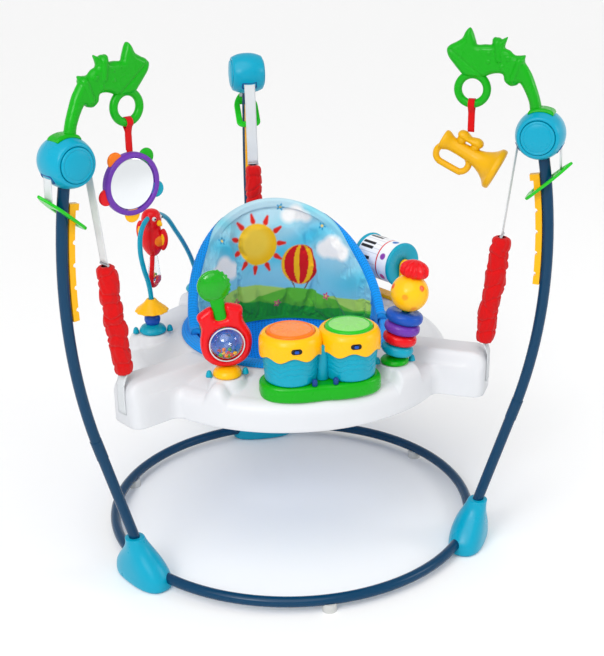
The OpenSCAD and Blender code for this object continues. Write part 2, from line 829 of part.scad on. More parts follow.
module strap_yokes() {
    stem = yoke_rad * 4;
    color("#9a9da2") at_all_posts() on_hang_line() translate([0, 0, yoke_at]) {
        along_ring(yoke_rad, strap_w / 2);
        translate([-yoke_rad / 2, -yoke_rad, -stem]) cube([yoke_rad, 2 * yoke_rad, stem]);
    }
}

function spring_points(from, to) = [for (k = [0 : 8 * spring_turns]) let (a = 45 * k)
    [spring_rad * cos(a), spring_rad * sin(a), from + (to - from) * k / (8 * spring_turns)]];
spring_gap = (spring_to - spring_from) / spring_turns - wire_d;
echo(spring_gap_mm = spring_gap);

module coil_springs() {
    color("#8d9095") at_all_posts() on_hang_line()
        loft(tube_rings(spring_points(spring_from, spring_to), wire_d / 2, 6, [0, 0, 1]));
}

sleeve_bulge_shares = [0.8, 1.1, 0.92, 1.14, 0.86, 1.1, 0.98, 1.12, 0.92, 0.8];

module spring_sleeves() {
    n = len(sleeve_bulge_shares);
    outline = smooth([for (k = [0 : n - 1])
        [sleeve_rad * sleeve_bulge_shares[k], sleeve_start + sleeve_len * k / (n - 1)]], 3);
    inside = [for (k = [len(outline) - 1 : -1 : 0]) outline[k] - [sleeve_wall, 0]];
    color("#e4101b") at_all_posts() on_hang_line() rotate_extrude($fn = 32) polygon(concat(outline, inside));
}

// Tray

function tray_section(inset, low) = concat([[0, low], [tray_r - inset, low]],
    arc([tray_r - rim_round, rim_z - rim_round], rim_round - inset, 0, 90, 6),
    [[deck_flat_r, deck_z - inset], [0, deck_z - inset]]);

module tray_body(inset, low) {
    translate([0, tray_y, 0]) rotate_extrude($fn = 96) polygon(tray_section(inset, low));
}

module tray_arm(inset, low) {
    end_r = arm_end_r - inset;
    half = arm_half_w - inset;
    top = arm_top_z - inset;
    rounding = arm_round - inset;
    intersection() {
        upright(2 * half) polygon(concat([[arm_root_r, low], [end_r, low]],
            arc([end_r - rounding, top - rounding], rounding, 0, 90, 6), [[arm_root_r, top]]));
        translate([0, 0, low]) linear_extrude(height = top - low) {
            translate([arm_root_r, -half]) square([end_r - rounding - arm_root_r, 2 * half]);
            translate([arm_root_r, rounding - half]) square([end_r - arm_root_r, 2 * (half - rounding)]);
            for (side = [-1, 1]) translate([end_r - rounding, side * (half - rounding)]) circle(r = rounding);
        }
    }
}

module tray_outside() {
    tray_body(0, tray_z);
    for (deg = POST_DEG) rotate([0, 0, deg]) tray_arm(0, tray_z);
}

function arch_foot() = arch_at + arch_span * [cos(arch_turn), sin(arch_turn)];

module toy_seats() {
    for (spot = [guitar_at, stack_at, arch_at, roller_at, arch_foot()])
        translate([spot[0], spot[1], rim_z - rim_round])
        cylinder(r = boss_rad, h = toy_z - rim_z + rim_round);
}

module tray_shell() {
    color("#f2f3f5") placed() difference() {
        union() {
            tray_outside();
            toy_seats();
        }
        tray_body(tray_wall, tray_z - overrun);
        for (deg = POST_DEG) rotate([0, 0, deg]) tray_arm(tray_wall, tray_z - overrun);
        translate([0, tray_y, tray_z - overrun]) cylinder(r = hole_r, h = deck_z, $fn = 96);
        translate([0, tray_y, deck_z]) cylinder(r = deck_flat_r, h = deck_z, $fn = 96);
    }
}

// Webbing tabs that hook the springs to the ends of the tray arms
module spring_anchors() {
    face_r = arm_end_r + play;
    low = arm_top_z - anchor_drop;
    bend_z = arm_top_z - arm_round / 2;
    color("#e6e9ec") at_all_posts() upright(strap_w) polygon([[face_r, low], [face_r + anchor_t, low],
        [face_r + anchor_t, bend_z], [anchor_r + anchor_t, anchor_z - play],
        [anchor_r - anchor_t, anchor_z - play],
        [anchor_r - anchor_t, anchor_z - play - anchor_t], [face_r, bend_z]]);
}

// Seat

module seat_ring() {
    low = deck_z - tray_wall - flange_t;
    in_r = hole_r - ring_play - ring_wall;
    color("#eef0f2") at_seat_axis() rotate_extrude($fn = 96) polygon([[in_r, low], [hole_r - ring_play, low],
        [hole_r - ring_play, deck_z + play], [hole_r + flange_w, deck_z + play],
        [hole_r + flange_w, deck_z + flange_t / 2], [hole_r + flange_w / 2, ring_top_z], [in_r, ring_top_z]]);
}

module seat_cloth() {
    top_z = ring_top_z - flange_t;
    floor_z = deck_z - bucket_depth;
    side_r = hole_r - ring_play - ring_wall - play;
    floor_r = hole_r * bucket_share;
    knee_z = floor_z + (hole_r - floor_r) / 2;
    color("#1677d8") at_seat_axis() difference() {
        rotate_extrude($fn = 96) polygon([[0, floor_z], [floor_r, floor_z], [side_r - cloth_t, knee_z],
            [side_r, top_z], [side_r - cloth_t, top_z], [side_r - 2 * cloth_t, knee_z + cloth_t],
            [floor_r - cloth_t, floor_z + cloth_t], [0, floor_z + cloth_t]]);
        for (side = [-1, 1]) translate([side * leg_x, -leg_r / 2, floor_z - overrun])
            cylinder(r = leg_r, h = cloth_t + 2 * overrun);
    }
}

// Padded back: a loop of section points carried round the seat, highest at the back
back_section_shares = [[0.5, 1], [0.85, 0.97], [1, 0.88], [1, 0.1], [0.8, 0], [0.2, 0], [0, 0.1],
    [-0.28, 0.45], [0, 0.88], [0.15, 0.97]];

function back_height(a) = max(back_low, back_h * cos(back_curve * a));

module seat_back() {
    in_r = back_out_r - back_t;
    rings = [for (k = [0 : back_steps]) let (a = back_span * (2 * k / back_steps - 1))
        [for (p = back_section_shares) let (r = in_r + back_t * p[0])
            [-r * sin(a), r * cos(a), back_z + back_height(a) * p[1]]]];
    color("#4aa9ee") at_seat_axis() loft(rings);
}

// Drums

module drum_base_outline() {
    rad = drum_foot_rad + base_margin;
    for (side = [-1, 1]) translate([drum_x + side * (drum_half_gap + base_margin), -drum_y])
        circle(r = rad, $fn = 64);
    translate([drum_x - drum_half_gap, -drum_y - rad * base_waist_share])
        square([2 * drum_half_gap, 2 * rad * base_waist_share]);
}

module drum_base() {
    low = rim_z - base_margin;
    color("#17b01a") difference() {
        placed() translate([0, 0, low]) linear_extrude(height = drum_foot_z - low) drum_base_outline();
        placed() translate([0, 0, play]) tray_body(0, tray_z);
        placed() translate([0, tray_y, 0])
            cylinder(r = hole_r + flange_w + ring_play, h = 2 * deck_z, $fn = 96);
        placed() door_place(play);
    }
}

// Room for the battery door under the drum base
module door_place(spare) {
    translate([drum_x - cell_len / 2 - door_t - spare, -drum_y - cell_d - spare,
        drum_foot_z - door_t - spare])
        cube([cell_len + 2 * door_t + 2 * spare, 2 * cell_d + 2 * spare, door_t + 2 * spare]);
}

module battery_door() {
    color("#139016") placed() door_place(0);
}

module drum_cone(inset, low, high) {
    for (side = [-1, 1]) at_drum(side) translate([0, 0, low])
        cylinder(r1 = drum_foot_rad - inset, r2 = drum_rad - inset, h = high - low, $fn = 64);
}

module drum_shell() {
    top = drum_top_z - collar_h / 2;
    color("#16b4d8") difference() {
        drum_cone(0, drum_foot_z + play, top);
        drum_cone(drum_wall, drum_foot_z + play + drum_wall, top + overrun);
        placed() translate([drum_x - drum_half_gap, -drum_y - drum_foot_rad / 2,
            drum_foot_z + play + drum_wall]) cube([2 * drum_half_gap, drum_foot_rad, drum_h]);
    }
}

module collar_solid(inset) {
    low = drum_top_z - collar_h;
    shoulder = collar_h / 3;
    for (side = [-1, 1]) at_drum(side) rotate_extrude($fn = 64) polygon(concat(
        [[0, low - inset * overrun], [drum_rad + collar_t - inset, low - inset * overrun],
            [drum_rad + collar_t - inset, drum_top_z - shoulder]],
        [[drum_rad + collar_t - inset - shoulder / 2, drum_top_z - inset], [0, drum_top_z - inset]]));
}

module drum_top() {
    color("#f9bd10") difference() {
        collar_solid(0);
        collar_solid(collar_t - play);
        for (side = [-1, 1]) at_drum(side) {
            translate([0, 0, drum_top_z - collar_t]) cylinder(r = pad_rad + play, h = 2 * collar_t, $fn = 64);
            for (k = [0 : scallop_count - 1]) rotate([0, 0, 360 * (k + 0.5) / scallop_count])
                translate([drum_rad, 0, drum_top_z - collar_h]) rotate([0, 90, 0])
                cylinder(r = scallop_rad, h = 4 * collar_t, center = true);
            switch_slot();
        }
    }
    color("#f9bd10") for (side = [-1, 1]) at_drum(side) pad_ledge();
    color("#f9bd10") at_drum(1) speaker_mount();
}

// A short ring under one ledge that the speaker's rim sits against
module speaker_mount() {
    translate([0, 0, drum_top_z - pad_seat - pad_travel - 3 * collar_t]) difference() {
        cylinder(r = speaker_rad, h = 2 * collar_t + play);
        translate([0, 0, -overrun]) cylinder(r = speaker_rad - collar_t, h = 4 * collar_t);
    }
}

// A ring inside the drum's mouth, with a guide for the pad's stem
module pad_ledge() {
    ledge_z = drum_top_z - pad_seat - pad_travel - collar_t;
    difference() {
        translate([0, 0, ledge_z]) cylinder(r = drum_rad - drum_wall, h = collar_t, $fn = 64);
        translate([0, 0, ledge_z - overrun]) cylinder(r = stem_rad + play, h = collar_t + 2 * overrun);
    }
    translate([0, 0, ledge_z]) difference() {
        cylinder(r = drum_rad + collar_t / 2, h = drum_top_z - ledge_z - collar_t, $fn = 64);
        translate([0, 0, -overrun]) cylinder(r = pad_rad + play, h = drum_h, $fn = 64);
    }
}

module switch_slot() {
    translate([-switch_w / 2, -drum_rad - 2 * collar_t, switch_z - switch_h / 2])
        cube([switch_w, 3 * collar_t, switch_h]);
}

module drum_pad(side, tint) {
    base_z = drum_top_z - pad_seat;
    color(tint) at_drum(side) {
        translate([0, 0, base_z]) rotate_extrude($fn = 64) polygon(concat([[0, 0], [pad_rad, 0],
            [pad_rad, pad_h / 2]], [for (k = [0 : 6]) let (t = 90 * k / 6)
            [pad_rad * (0.94 * cos(t)), pad_h / 2 + pad_h / 2 * sin(t)]]));
        translate([0, 0, base_z - 2 * collar_t]) cylinder(r = stem_rad, h = 2 * collar_t);
    }
}

module drum_pad_left() { drum_pad(-1, "#f78f3a"); }
module drum_pad_right() { drum_pad(1, "#8fd66a"); }

module drum_switch(side) {
    color("#1d63a8") at_drum(side)
        translate([-switch_knob_w / 2, -drum_rad - collar_t - play, switch_z - switch_h / 2 + play])
        cube([switch_knob_w, collar_t, switch_h - 2 * play]);
}

module drum_switch_left() { drum_switch(-1); }
module drum_switch_right() { drum_switch(1); }

module batteries() {
    color("#3a3d42") placed() for (k = [-1, 1])
        translate([drum_x, -drum_y + k * cell_d * 0.55, drum_foot_z + play + drum_wall + cell_d / 2 + play])
        rotate([0, 90, 0]) cylinder(d = cell_d, h = cell_len, center = true);
}

module speaker() {
    ledge_z = drum_top_z - pad_seat - pad_travel - collar_t;
    color("#2b2d31") at_drum(1) translate([0, 0, ledge_z - play - 2 * collar_t - speaker_t]) difference() {
        cylinder(r1 = speaker_rad / 2, r2 = speaker_rad, h = speaker_t);
        translate([0, 0, speaker_t / 2])
            cylinder(r1 = speaker_rad / 4, r2 = speaker_rad * cone_mouth_share, h = speaker_t);
    }
}

// Clips: two pegs in front of the drums, and a pair of tabs beside each small toy
module clip_pair(spot, turn) {
    on_tray(spot, turn) for (side = [-1, 1])
        translate([side * (dome_rad + peg_rad + play), 0, play])
        cylinder(r1 = peg_rad, r2 = peg_rad / 2, h = 2 * peg_rad);
}

module toy_clips() {
    color("#17a9b0") {
        clip_pair(guitar_at, 0);
        clip_pair(stack_at, 0);
        clip_pair(arch_at, 0);
    }
    color("#123f7e") placed() for (side = [-1, 1])
        translate([drum_x + side * peg_rad * 3, -drum_y - drum_foot_rad * peg_share, drum_foot_z + play])
        cylinder(r = peg_rad * 0.8, h = 2 * peg_rad);
}

// Guitar rattle

module dome(rad, h) {
    rotate_extrude() polygon(concat([[0, 0], [rad * 0.9, 0]],
        [for (k = [0 : 8]) let (t = 90 * k / 8) [rad * cos(t), h * 0.25 + h * 0.75 * sin(t)]]));
}

module guitar_base() {
    color("#f9bd10") on_tray(guitar_at) {
        difference() {
            translate([0, 0, play]) dome(dome_rad, dome_h);
            translate([0, 0, dome_h - 2 * spindle_rad]) cylinder(r = spindle_rad + slip, h = dome_h);
        }
    }
}

// The rattle's flat body in its own upright plane, lower edge at z = 0; its upper half leans with the neck
module guitar_profile() {
    waist = guitar_rad * waist_share;
    translate([0, guitar_rad]) circle(r = guitar_rad, $fn = 64);
    in_guitar() translate([0, guitar_z - globe_z]) {
        for (side = [-1, 1]) translate([side * waist / 2, guitar_rad * horn_z_share])
            circle(r = waist * horn_rad_share);
        translate([-waist, guitar_rad]) square([2 * waist, guitar_rad]);
    }
}

module in_guitar() {
    translate([0, globe_z - guitar_z]) rotate(neck_lean) children();
}

// The neck's outline widens from the globe to the head
module neck_outline(low, spare) {
    foot = neck_r * neck_foot_share + spare;
    polygon([[-foot, low], [foot, low], [neck_r + spare, neck_len], [-neck_r - spare, neck_len]]);
}

module guitar_body() {
    color("#d5101e") on_tray(guitar_at) {
        translate([0, 0, dome_h + play]) difference() {
            upright(guitar_t) difference() {
                guitar_profile();
                in_guitar() {
                    circle(r = globe_rad + play, $fn = 64);
                    neck_outline(globe_rad - 2 * play, play);
                }
            }
            translate([0, 0, globe_z - guitar_z]) rotate([0, 90, 0])
                cylinder(r = pivot_rad + slip, h = 2 * (globe_rad + 3 * pivot_rad), center = true);
        }
        translate([0, 0, dome_h - 1.5 * spindle_rad]) cylinder(r = spindle_rad, h = 2 * spindle_rad);
    }
}

module guitar_neck() {
    color("#12a81e") at_globe() rotate([0, -neck_lean, 0]) {
        upright(guitar_t / 2) neck_outline(neck_low, 0);
        translate([0, 0, neck_len]) rotate([90, 0, 0]) barrel_disc(head_rad, guitar_t * head_t_share);
    }
}

// A disc with a rounded edge about the local Z axis
module barrel_disc(rad, t) {
    rotate_extrude() polygon(concat([[0, -t / 2]], arc([rad - t / 2, 0], t / 2, -90, 90, 10), [[0, t / 2]]));
}

module at_globe() {
    on_tray(guitar_at) translate([0, 0, globe_z - toy_z]) children();
}

module bead_globe() {
    color("#d9eef5", 0.4) at_globe() difference() {
        union() {
            sphere(r = globe_rad, $fn = 64);
            rotate([0, 90, 0]) cylinder(r = pivot_rad, h = 2 * (globe_rad + 2 * pivot_rad), center = true);
        }
        sphere(r = globe_rad - globe_wall, $fn = 64);
    }
}

module globe_beads() {
    reach = globe_rad - globe_wall - bead_rad - play;
    color("#f4a51c") at_globe() {
        translate([0, 0, -reach]) sphere(r = bead_rad);
        for (row = [1, 2], k = [0 : 2 + 3 * row]) rotate([0, 0, 360 * k / (3 + 3 * row)])
            rotate([0, row * 19, 0]) translate([0, 0, -reach]) sphere(r = bead_rad);
    }
}

// Ring stack

module on_stack() {
    on_tray(stack_at) rotate([0, stack_lean, 0]) children();
}

module stack_post() {
    color("#17b01a") {
        on_tray(stack_at) translate([0, 0, play]) dome(dome_rad, stack_base_h * base_dome_share);
        difference() {
            on_stack() cylinder(r = shaft_rad, h = stack_top + ball_rad);
            on_tray(stack_at) translate([-dome_rad, -dome_rad, -dome_rad + play])
                cube([2 * dome_rad, 2 * dome_rad, dome_rad]);
        }
    }
}

module stack_ring(k) {
    rad = stack_rad * stack_bulge_shares[k];
    half = (stack_pitch - ring_gap) / 2;
    bow = half * 0.8;
    mid = stack_base_h + stack_pitch * (k + 0.5);
    color(stack_colours[k]) on_stack() translate([0, 0, mid]) difference() {
        rotate_extrude() polygon(concat([[0, -half]], [[rad - bow, -half]],
            arc([rad - bow, 0], half, -90, 90, 10), [[0, half]]));
        cylinder(r = shaft_rad + play, h = 2 * stack_pitch, center = true);
    }
}

module stack_ring_teal() { stack_ring(0); }
module stack_ring_red() { stack_ring(1); }
module stack_ring_purple() { stack_ring(2); }
module stack_ring_blue() { stack_ring(3); }

module stack_head() {
    knot = ball_rad * 0.42;
    color("#fbc21a") on_stack() difference() {
        translate([0, 0, stack_top + ball_rad]) {
            sphere(r = ball_rad, $fn = 64);
            for (k = [0 : 4]) rotate([0, 0, 72 * k])
                translate([knot * 0.95, 0, ball_rad * 0.98]) sphere(r = knot);
            translate([0, 0, ball_rad * 1.25]) sphere(r = knot * 1.1);
        }
        translate([0, 0, stack_top - overrun]) cylinder(r = shaft_rad + play, h = ball_rad + overrun + play);
    }
}

// Roller

module on_roller() {
    on_tray(roller_at, roller_turn) translate([0, 0, roller_h]) rotate([0, 90, 0]) children();
}

module roller_drum() {
    hollow = roller_len / 2 - roller_wall;
    color("#eef0f4") on_roller() difference() {
        cylinder(r = roller_rad, h = roller_len, center = true, $fn = 64);
        for (side = [-1, 1]) translate([0, 0, side * (roller_wall + hollow / 2)]) difference() {
            cylinder(r = roller_rad - roller_wall, h = hollow, center = true, $fn = 64);
            cylinder(r = axle_rad + 2 * roller_wall, h = roller_len, center = true);
        }
        cylinder(r = axle_rad + slip, h = 2 * roller_len, center = true);
    }
}

module roller_rings() {
    color("#17b3c0") on_roller() for (side = [-1, 1])
        translate([0, 0, side * (roller_len + end_ring_w) / 2]) difference() {
            barrel_disc(end_ring_rad, end_ring_w);
            cylinder(r = axle_rad + slip, h = 2 * end_ring_w, center = true);
        }
}

// Two stands with the axle between them, joined by a sole on the toy seat
module roller_bracket() {
    stand = roller_half + play;
    color("#f6bd12") on_tray(roller_at, roller_turn) {
        for (side = [-1, 1]) translate([side * (stand + bracket_t / 2), 0, 0]) {
            translate([-bracket_t / 2, -bracket_half_w, play])
                cube([bracket_t, 2 * bracket_half_w, roller_h - play]);
            translate([0, 0, roller_h]) rotate([0, 90, 0])
                cylinder(r = bracket_half_w, h = bracket_t, center = true);
        }
        translate([-stand - bracket_t, -bracket_half_w, play])
            cube([2 * (stand + bracket_t), 2 * bracket_half_w, bracket_t]);
        translate([0, 0, roller_h]) rotate([0, 90, 0])
            cylinder(r = axle_rad, h = 2 * stand + bracket_t, center = true);
    }
}

// Arch with its spinning cone and hanging bird

arch_points = smooth([for (p = arch_shares) [arch_span * p[0], 0, arch_rise * p[1]]], arch_steps);

module on_arch() {
    on_tray(arch_at, arch_turn) translate([0, 0, arch_low_z - toy_z]) children();
}

module arch_tube() {
    color("#18b4d4") on_arch() loft(tube_rings(arch_points, arch_d / 2, 12, [0, 1, 0]));
}

module arch_base() {
    color("#18b4c4") difference() {
        union() {
            on_tray(arch_at) translate([0, 0, play]) dome(dome_rad, dome_h);
            on_tray(arch_at) translate([0, 0, dome_h + spin_ball_rad * 0.6]) sphere(r = spin_ball_rad);
            on_tray(arch_foot()) translate([0, 0, play]) dome(dome_rad, dome_h);
        }
        for (spot = [arch_at, arch_foot()]) on_tray(spot) translate([0, 0, arch_low_z - toy_z - play])
            cylinder(r = arch_d / 2 + 2 * play, h = 4 * dome_h);
    }
}

module cone_spinner() {
    color("#f8bf16") on_tray(arch_at) translate([0, 0, cone_z - toy_z]) difference() {
        cylinder(r1 = cone_rad, r2 = arch_d, h = cone_h);
        translate([0, 0, -overrun])
            cylinder(r1 = cone_rad - 2 * globe_wall, r2 = arch_d / 2, h = cone_h - overrun);
        translate([0, 0, -overrun]) cylinder(r = arch_d / 2 + 3 * play, h = cone_h + 2 * overrun);
    }
}

bird_at = [arch_span * arch_shares[bird_place][0], arch_rise * arch_shares[bird_place][1]];
bird_shares = [[0, 0.16], [0.5, 0.14], [0.78, 0.06], [0.86, -0.06], [0.78, -0.2], [0.72, -0.3], [0.92, -0.46],
    [1, -0.62], [0.86, -0.8], [0.5, -0.95], [0.3, -1], [0, -1]];

// A hanging bird: head and body turned about a plumb line, wings at its sides, and a paddle tail
module bird_toy() {
    body = smooth([for (p = bird_shares) [max(0, p[0]) * bird_rad, p[1] * bird_len]], 3);
    color("#e01522") on_arch() translate([bird_at[0], 0, bird_at[1]]) difference() {
        union() {
            rotate_extrude() polygon(body);
            for (side = [-1, 1]) translate([0, side * (bird_rad - wing_rad / 4), -bird_len / 2])
                sphere(r = wing_rad);
            translate([0, 0, tail_rad / 2 - bird_len - tail_len / 2]) upright(tail_rad) bird_tail();
        }
        rotate([0, 90, 0]) cylinder(r = arch_d / 2 + 3 * play, h = 4 * bird_rad, center = true);
        bird_room();
    }
}

module bird_tail() {
    low = tail_rad - tail_len / 2;
    translate([0, low]) circle(r = tail_rad);
    polygon([[-tail_rad * 0.98, low], [tail_rad * 0.98, low], [tail_rad * 0.35, tail_len / 2],
        [-tail_rad * 0.35, tail_len / 2]]);
}

// Room above the arch, on the line where the tube curves away
module bird_room() {
    for (side = [-1, 1]) translate([side * bird_rad * 0.5, -arch_d, -arch_d * 1.6])
        translate([side < 0 ? -bird_rad : 0, 0, 0]) cube([bird_rad, 2 * arch_d, arch_d * 2.2]);
}

// Hanging toys

module at_swing(i) {
    at_post(i) translate([arm_ring_at[0], 0, swing_z]) children();
}

module hanger(i, tint) {
    color(tint) at_swing(i) {
        rotate([0, 90, 0]) difference() {
            cylinder(r = loop_in + loop_t, h = hang_w, center = true);
            cylinder(r = loop_in, h = 2 * hang_w, center = true);
        }
        translate([-hang_w / 2, -loop_t, -loop_in - hang_len]) cube([hang_w, 2 * loop_t, hang_len]);
    }
}

module tambourine_strap() { hanger(0, "#e4101b"); }
module trumpet_strap() { hanger(1, "#e4101b"); }

module at_tambourine() {
    at_swing(0) translate([0, 0, tamb_z - swing_z]) rotate([90, 0, 0]) children();
}

module tambourine_rim() {
    in_r = tamb_rad - tamb_rim_w;
    lip = tamb_rim_w / 4;
    color("#6a3fa8") at_tambourine() rotate_extrude($fn = 64) polygon(concat(
        [[in_r, -tamb_t / 2], [tamb_rad - lip, -tamb_t / 2], [tamb_rad, -tamb_t / 4], [tamb_rad, tamb_t / 4],
            [tamb_rad - lip, tamb_t / 2], [in_r, tamb_t / 2]]));
}

module tambourine_mirror() {
    color("#e3e8ec") at_tambourine()
        cylinder(r = tamb_rad - tamb_rim_w - play, h = tamb_t / 2, center = true, $fn = 64);
}

module tambourine_lobes() {
    at_tambourine() difference() {
        for (k = [0 : 4]) color(lobe_colours[k]) rotate([0, 0, lobe_first + 72 * k])
            translate([tamb_rad - loop_t, 0, 0]) cylinder(r = lobe_rad, h = lobe_t, center = true);
        cylinder(r = tamb_rad + play, h = 2 * lobe_t, center = true, $fn = 64);
    }
}

// Trumpet: the horn lies along X, mouthpiece first, about the middle of its length
horn_shares = [[0, 0, 1], [0.06, 0, 1], [0.14, 0.3, 0.55], [0.22, 0.9, 0.1], [0.55, 1, 0], [0.7, 1.25, 0],
    [0.82, 1.65, 0], [0.9, 2.2, 0], [0.955, 2.9, 0]];
bell_edge_share = 0.045;

module trumpet() {
    half = horn_len / 2;
    profile = concat([[0, 0]], [for (p = horn_shares) [horn_rad * p[1] + mouth_rad * p[2], horn_len * p[0]]],
        [[bell_rad, horn_len * (1 - bell_edge_share)], [bell_rad, horn_len], [bell_rad - loop_wire, horn_len],
            [horn_rad * 0.6, horn_len * 0.7], [0, horn_len * 0.66]]);
    color("#f6bd12") at_swing(1) translate([0, 0, toy_top_z - swing_z - horn_drop])
        rotate([0, -horn_tilt, 0]) {
            translate([-half, 0, 0]) rotate([0, 90, 0]) rotate_extrude() polygon(profile);
            trumpet_valves();
            translate([-half * 0.42, 0, -loop_rad - horn_rad * 0.6]) rotate([90, 0, 0]) trumpet_loop();
        }
}

module trumpet_valves() {
    cap = horn_rad * valve_cap_share;
    spread = horn_rad * valve_spread_share;
    for (side = [-1, 1]) translate([side * spread * valve_share - horn_rad, 0, 0])
        cylinder(r = horn_rad * valve_share, h = valve_rise * valve_share);
    translate([-horn_rad, 0, valve_rise * valve_share]) upright(2 * horn_rad) {
        for (side = [-1, 1]) translate([side * spread, 0]) circle(r = cap);
        translate([-spread, -cap]) square([2 * spread, 2 * cap]);
    }
}

// Finger loop under the horn: two straight rods with half rings at their ends
module trumpet_loop() {
    for (side = [-1, 1]) {
        translate([side * loop_len / 2, 0, 0]) rotate([0, 0, side < 0 ? 90 : -90])
            rotate_extrude(angle = 180) translate([loop_rad, 0]) circle(r = loop_wire);
        translate([0, side * loop_rad, 0]) rotate([0, 90, 0])
            cylinder(r = loop_wire, h = loop_len, center = true);
    }
}

base_tubes();
feet();
floor_pads();
frame_screws();
post_left();
post_right();
post_back();
towers();
tower_covers();
strap_bars();
height_racks();
arm_left();
arm_right();
straps();
leaf_left();
leaf_right();
leaf_back();
strap_yokes();
coil_springs();
spring_sleeves();
tray_shell();
spring_anchors();
seat_ring();
seat_cloth();
seat_back();
drum_base();
drum_shell();
drum_top();
drum_pad_left();
drum_pad_right();
drum_switch_left();
drum_switch_right();
batteries();
battery_door();
speaker();
toy_clips();
guitar_base();
guitar_body();
guitar_neck();
bead_globe();
globe_beads();
stack_post();
stack_ring_teal();
stack_ring_red();
stack_ring_purple();
stack_ring_blue();
stack_head();
roller_bracket();
roller_drum();
roller_rings();
arch_tube();
arch_base();
cone_spinner();
bird_toy();
tambourine_strap();
tambourine_rim();
tambourine_mirror();
tambourine_lobes();
trumpet_strap();
trumpet();
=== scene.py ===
import math
from functools import partial

import bmesh
import bpy
import numpy as np
from mathutils import Matrix, geometry


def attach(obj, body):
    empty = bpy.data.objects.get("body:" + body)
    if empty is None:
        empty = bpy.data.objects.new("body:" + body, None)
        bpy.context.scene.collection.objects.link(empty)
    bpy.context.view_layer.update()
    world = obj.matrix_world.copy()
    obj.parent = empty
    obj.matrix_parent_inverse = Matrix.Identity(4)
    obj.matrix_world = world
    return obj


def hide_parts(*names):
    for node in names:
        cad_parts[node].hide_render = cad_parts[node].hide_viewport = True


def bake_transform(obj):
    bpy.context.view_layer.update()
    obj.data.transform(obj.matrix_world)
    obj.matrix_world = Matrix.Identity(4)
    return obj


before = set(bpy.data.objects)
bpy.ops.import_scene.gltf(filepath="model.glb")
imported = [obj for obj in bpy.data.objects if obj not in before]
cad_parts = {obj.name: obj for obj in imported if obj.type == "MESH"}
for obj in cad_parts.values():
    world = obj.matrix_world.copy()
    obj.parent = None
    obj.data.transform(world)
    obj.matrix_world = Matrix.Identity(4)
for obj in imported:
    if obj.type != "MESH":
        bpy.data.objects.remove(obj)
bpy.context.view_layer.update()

# Camera and light. The camera stands where the photograph was taken, above the part and to its left, and a
# soft sun, two area lamps and an even white sky light it as in a photo studio. All lengths in this file are
# millimetres from the middle of the floor ring, as in the part's source.
origin_y = 70.9925
camera_at = (-392.28, -2152.29, 1264.28)
yaw, pitch, roll = np.radians((10.953, 21.776, -0.694))
focal_pixels, photo_height, sensor = 1262.93, 656, 36
sky_strength = 0.62
lamp_aim = np.array([0, 0, 0.45])
lamps = (  # name, kind, place, power, size in radians for the sun and in metres for the others
    ("key", "SUN", (-1000, -1800, 3100), 1.35, 1.0),
    ("soft", "AREA", (-1500, -2000, 1900), 18, 0.8),
    ("side", "AREA", (2300, -900, 1500), 9, 0.8))


def row(points):
    """Millimetres from the middle of the floor ring, as metres in the frame's own axes."""
    return (np.asarray(points, float) - (0.0, origin_y, 0.0)) / 1000.0


def add(name, data):
    """A new object in the scene for this mesh, curve, light or camera."""
    obj = bpy.data.objects.new(name, data)
    bpy.context.scene.collection.objects.link(obj)
    return obj


def placed(right, up, back, at):
    """The matrix with three directions and a place as its columns."""
    return Matrix(np.vstack([np.column_stack([right, up, back, at]), (0, 0, 0, 1)]).tolist())


ahead = np.array([math.sin(yaw) * math.cos(pitch), math.cos(yaw) * math.cos(pitch), -math.sin(pitch)])
level = np.array([math.cos(yaw), -math.sin(yaw), 0])
upright = np.cross(level, ahead)
camera = add("camera", bpy.data.cameras.new("camera"))
camera.matrix_world = placed(math.cos(roll) * level + math.sin(roll) * upright,
                             math.cos(roll) * upright - math.sin(roll) * level, -ahead, row(camera_at))
camera.data.sensor_width = sensor
camera.data.lens = focal_pixels * sensor / photo_height
bpy.context.scene.camera = camera
bpy.context.scene.view_settings.view_transform = "Standard"
world = bpy.data.worlds.new("studio")
bpy.context.scene.world = world
world.use_nodes = True
world.node_tree.nodes["Background"].inputs["Color"].default_value = (1, 1, 1, 1)
world.node_tree.nodes["Background"].inputs["Strength"].default_value = sky_strength
for name, kind, place, power, size in lamps:
    lamp = bpy.data.lights.new(name, kind)
    lamp.energy = power
    if kind == "SUN":
        lamp.angle = size
    else:
        lamp.size = size
    lamp_at = row(place)
    back = (lamp_at - lamp_aim) / np.linalg.norm(lamp_at - lamp_aim)
    right = np.cross((0, 0, 1), back)
    right /= np.linalg.norm(right)
    add(name, lamp).matrix_world = placed(right, np.cross(back, right), back, lamp_at)

# Studio floor. A seamless sheet of pale paper that lies flat round the part and curves up far behind it, so
# that no edge shows from any side. It isn't part of the object.
floor_r = np.array([0.5, 3000, 9000, 18000, 26000, 32000, 35000, 37000, 38500, 39500, 40000])[:, None]
floor_z = np.array([0, 0, 0, 0, 0, 0, 300, 1100, 2600, 5500, 12000.0])[:, None]


def around(count):
    """Even steps round a circle, in radians."""
    return 2 * np.pi * np.arange(count) / count


def solid(name, points, faces, uv=None):
    """Mesh of points given in millimetres, shaded smooth, with its faces turned outwards."""
    mesh = bpy.data.meshes.new(name)
    mesh.from_pydata(row(points).tolist(), [], faces)
    if uv is not None:
        mesh.uv_layers.new(name="UVMap").data.foreach_set("uv", np.asarray(uv, np.float32).ravel())
    shell = bmesh.new()
    shell.from_mesh(mesh)
    bmesh.ops.recalc_face_normals(shell, faces=shell.faces)
    shell.to_mesh(mesh)
    shell.free()
    mesh.shade_smooth()
    return add(name, mesh)


